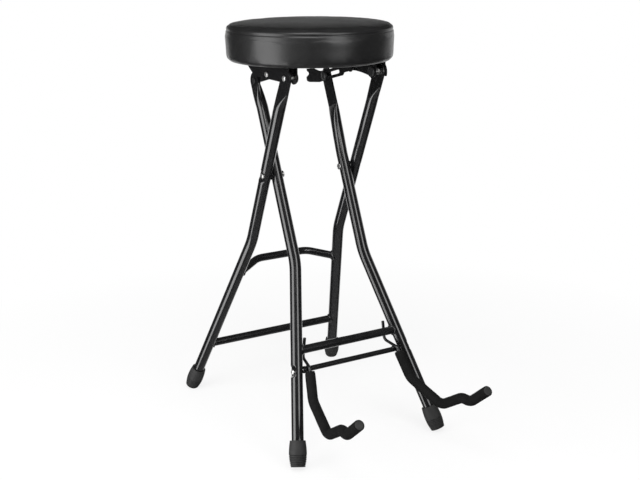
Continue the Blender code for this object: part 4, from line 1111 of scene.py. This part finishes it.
def build_floor():
    # A pale sweep that reads white and keeps part of the stool's shadow.
    made, tree, surface = studio_surface("studio floor", 0.94, 0.9)
    glow = add_node(tree, "Emission", {"Color": grey(1), "Strength": 1.0})
    near = add_node(tree, "VectorMath", {0: object_place(tree)}, operation="LENGTH").outputs["Value"]
    share = maths(tree, "MULTIPLY", white_for_view(tree), remap(tree, near, 0.5, 1.1, 0.80, 1.0))
    mixed = add_node(tree, "MixShader", {0: share, 1: surface.outputs[0], 2: glow.outputs[0]})
    set_inputs(tree.nodes["Material Output"], {"Surface": mixed.outputs[0]})
    bm = bmesh.new()
    bmesh.ops.create_grid(bm, x_segments=24, y_segments=24, size=6.0, matrix=Matrix.Translation(UP * -0.0002))
    floor = new_object("studio_floor", bm, made)
    floor.visible_glossy = floor.visible_shadow = False


def build_dark_room():
    # Dim walls, a sloping ceiling and a grey ground that only gloss shows. Behind the stool, as the camera sees it,
    # a card's light fades upwards over an opening, and beside that stands an evenly lit card.
    wall, ground, fade, side = (studio_surface(name, level, 1.0) for name, level in (
        ("studio wall", 0.05), ("studio ground", 0.35), ("studio fade", 0.0), ("studio side", 0.0)))
    tree = fade[1]
    height = add_node(tree, "SeparateXYZ", {0: object_place(tree)}).outputs["Z"]
    level = maths(tree, "POWER", remap(tree, height, CARD_MIDDLE, CARD_TOP, 1.0, 0.0), 1.4)
    set_inputs(fade[2], {"Emission Color": grey(1), "Emission Strength": maths(tree, "ADD", level, 0.02)})
    set_inputs(side[2], {"Emission Color": grey(1), "Emission Strength": 0.70})
    bm = bmesh.new()
    steps, middle = 48, atan2(-0.870, -0.493)
    walls = [middle + pi * (2 * k / steps - 1) for k in range(steps)]
    shape = ((3.0, -3.0), (3.0, 0.15), (3.0, CARD_MIDDLE), (3.0, CARD_TOP), (1.2, 2.6), (0.4, 2.7))
    rings = [[bm.verts.new((radius * cos(turn), radius * sin(turn), height)) for turn in walls]
             for radius, height in shape]
    for number, (lower, upper) in enumerate(zip(rings, rings[1:])):
        for k in range(steps):
            turned = 360 * (k + 0.5) / steps - 180
            behind = abs(turned) > 140
            if number < 2 and behind:
                continue
            after = (k + 1) % steps
            panel = bm.faces.new((lower[k], lower[after], upper[after], upper[k]))
            if number == 2 and behind:
                panel.material_index = 2
            elif number in (1, 2) and turned > 120:
                panel.material_index = 3
    bm.faces.new(rings[-1])
    bm.faces.new(rings[0]).material_index = 1
    room = new_object("studio_room", bm, wall[0], ground[0], fade[0], side[0])
    room.visible_camera = room.visible_diffuse = room.visible_transmission = room.visible_shadow = False


def add_softbox(name, direction, distance, size, watts, height):
    # A rectangular light that faces the stool's middle.
    data = bpy.data.lights.new(name, "AREA")
    data.shape = "RECTANGLE"
    data.size, data.size_y = size
    data.energy = watts
    lamp = link_object(name, data)
    aim = Vector((0, 0.05, 0.36))
    flat = Vector((*direction, 0)).normalized()
    lamp.location = Vector((aim.x, aim.y, height)) + flat * distance
    lamp.rotation_euler = (aim - lamp.location).to_track_quat("-Z", "Y").to_euler()
    lamp.visible_camera = False


def add_camera():
    data = bpy.data.cameras.new("view")
    data.sensor_width = 36.0
    data.lens = VIEW_LENS
    camera = link_object("view", data)
    forward = VIEW_AHEAD.normalized()
    right = forward.cross(UP).normalized()
    up = right.cross(forward)
    turn = Matrix((right, up, -forward)).transposed().to_4x4() @ Matrix.Rotation(VIEW_ROLL, 4, "Z")
    camera.matrix_world = Matrix.Translation(VIEW_PLACE) @ turn
    bpy.context.scene.camera = camera


build_world(0.50)
build_floor()
build_dark_room()
add_softbox("softbox_left", (-1.0, -0.052), 1.6, (1.1, 2.4), 31.0, 0.30)
add_softbox("softbox_right", (0.139, -0.990), 1.8, (0.8, 1.7), 15.0, 1.20)
add_softbox("softbox_top", (-0.60, -0.80), 1.2, (1.1, 1.3), 18.0, 2.08)
add_camera()
bpy.context.scene.view_settings.view_transform = "Standard"
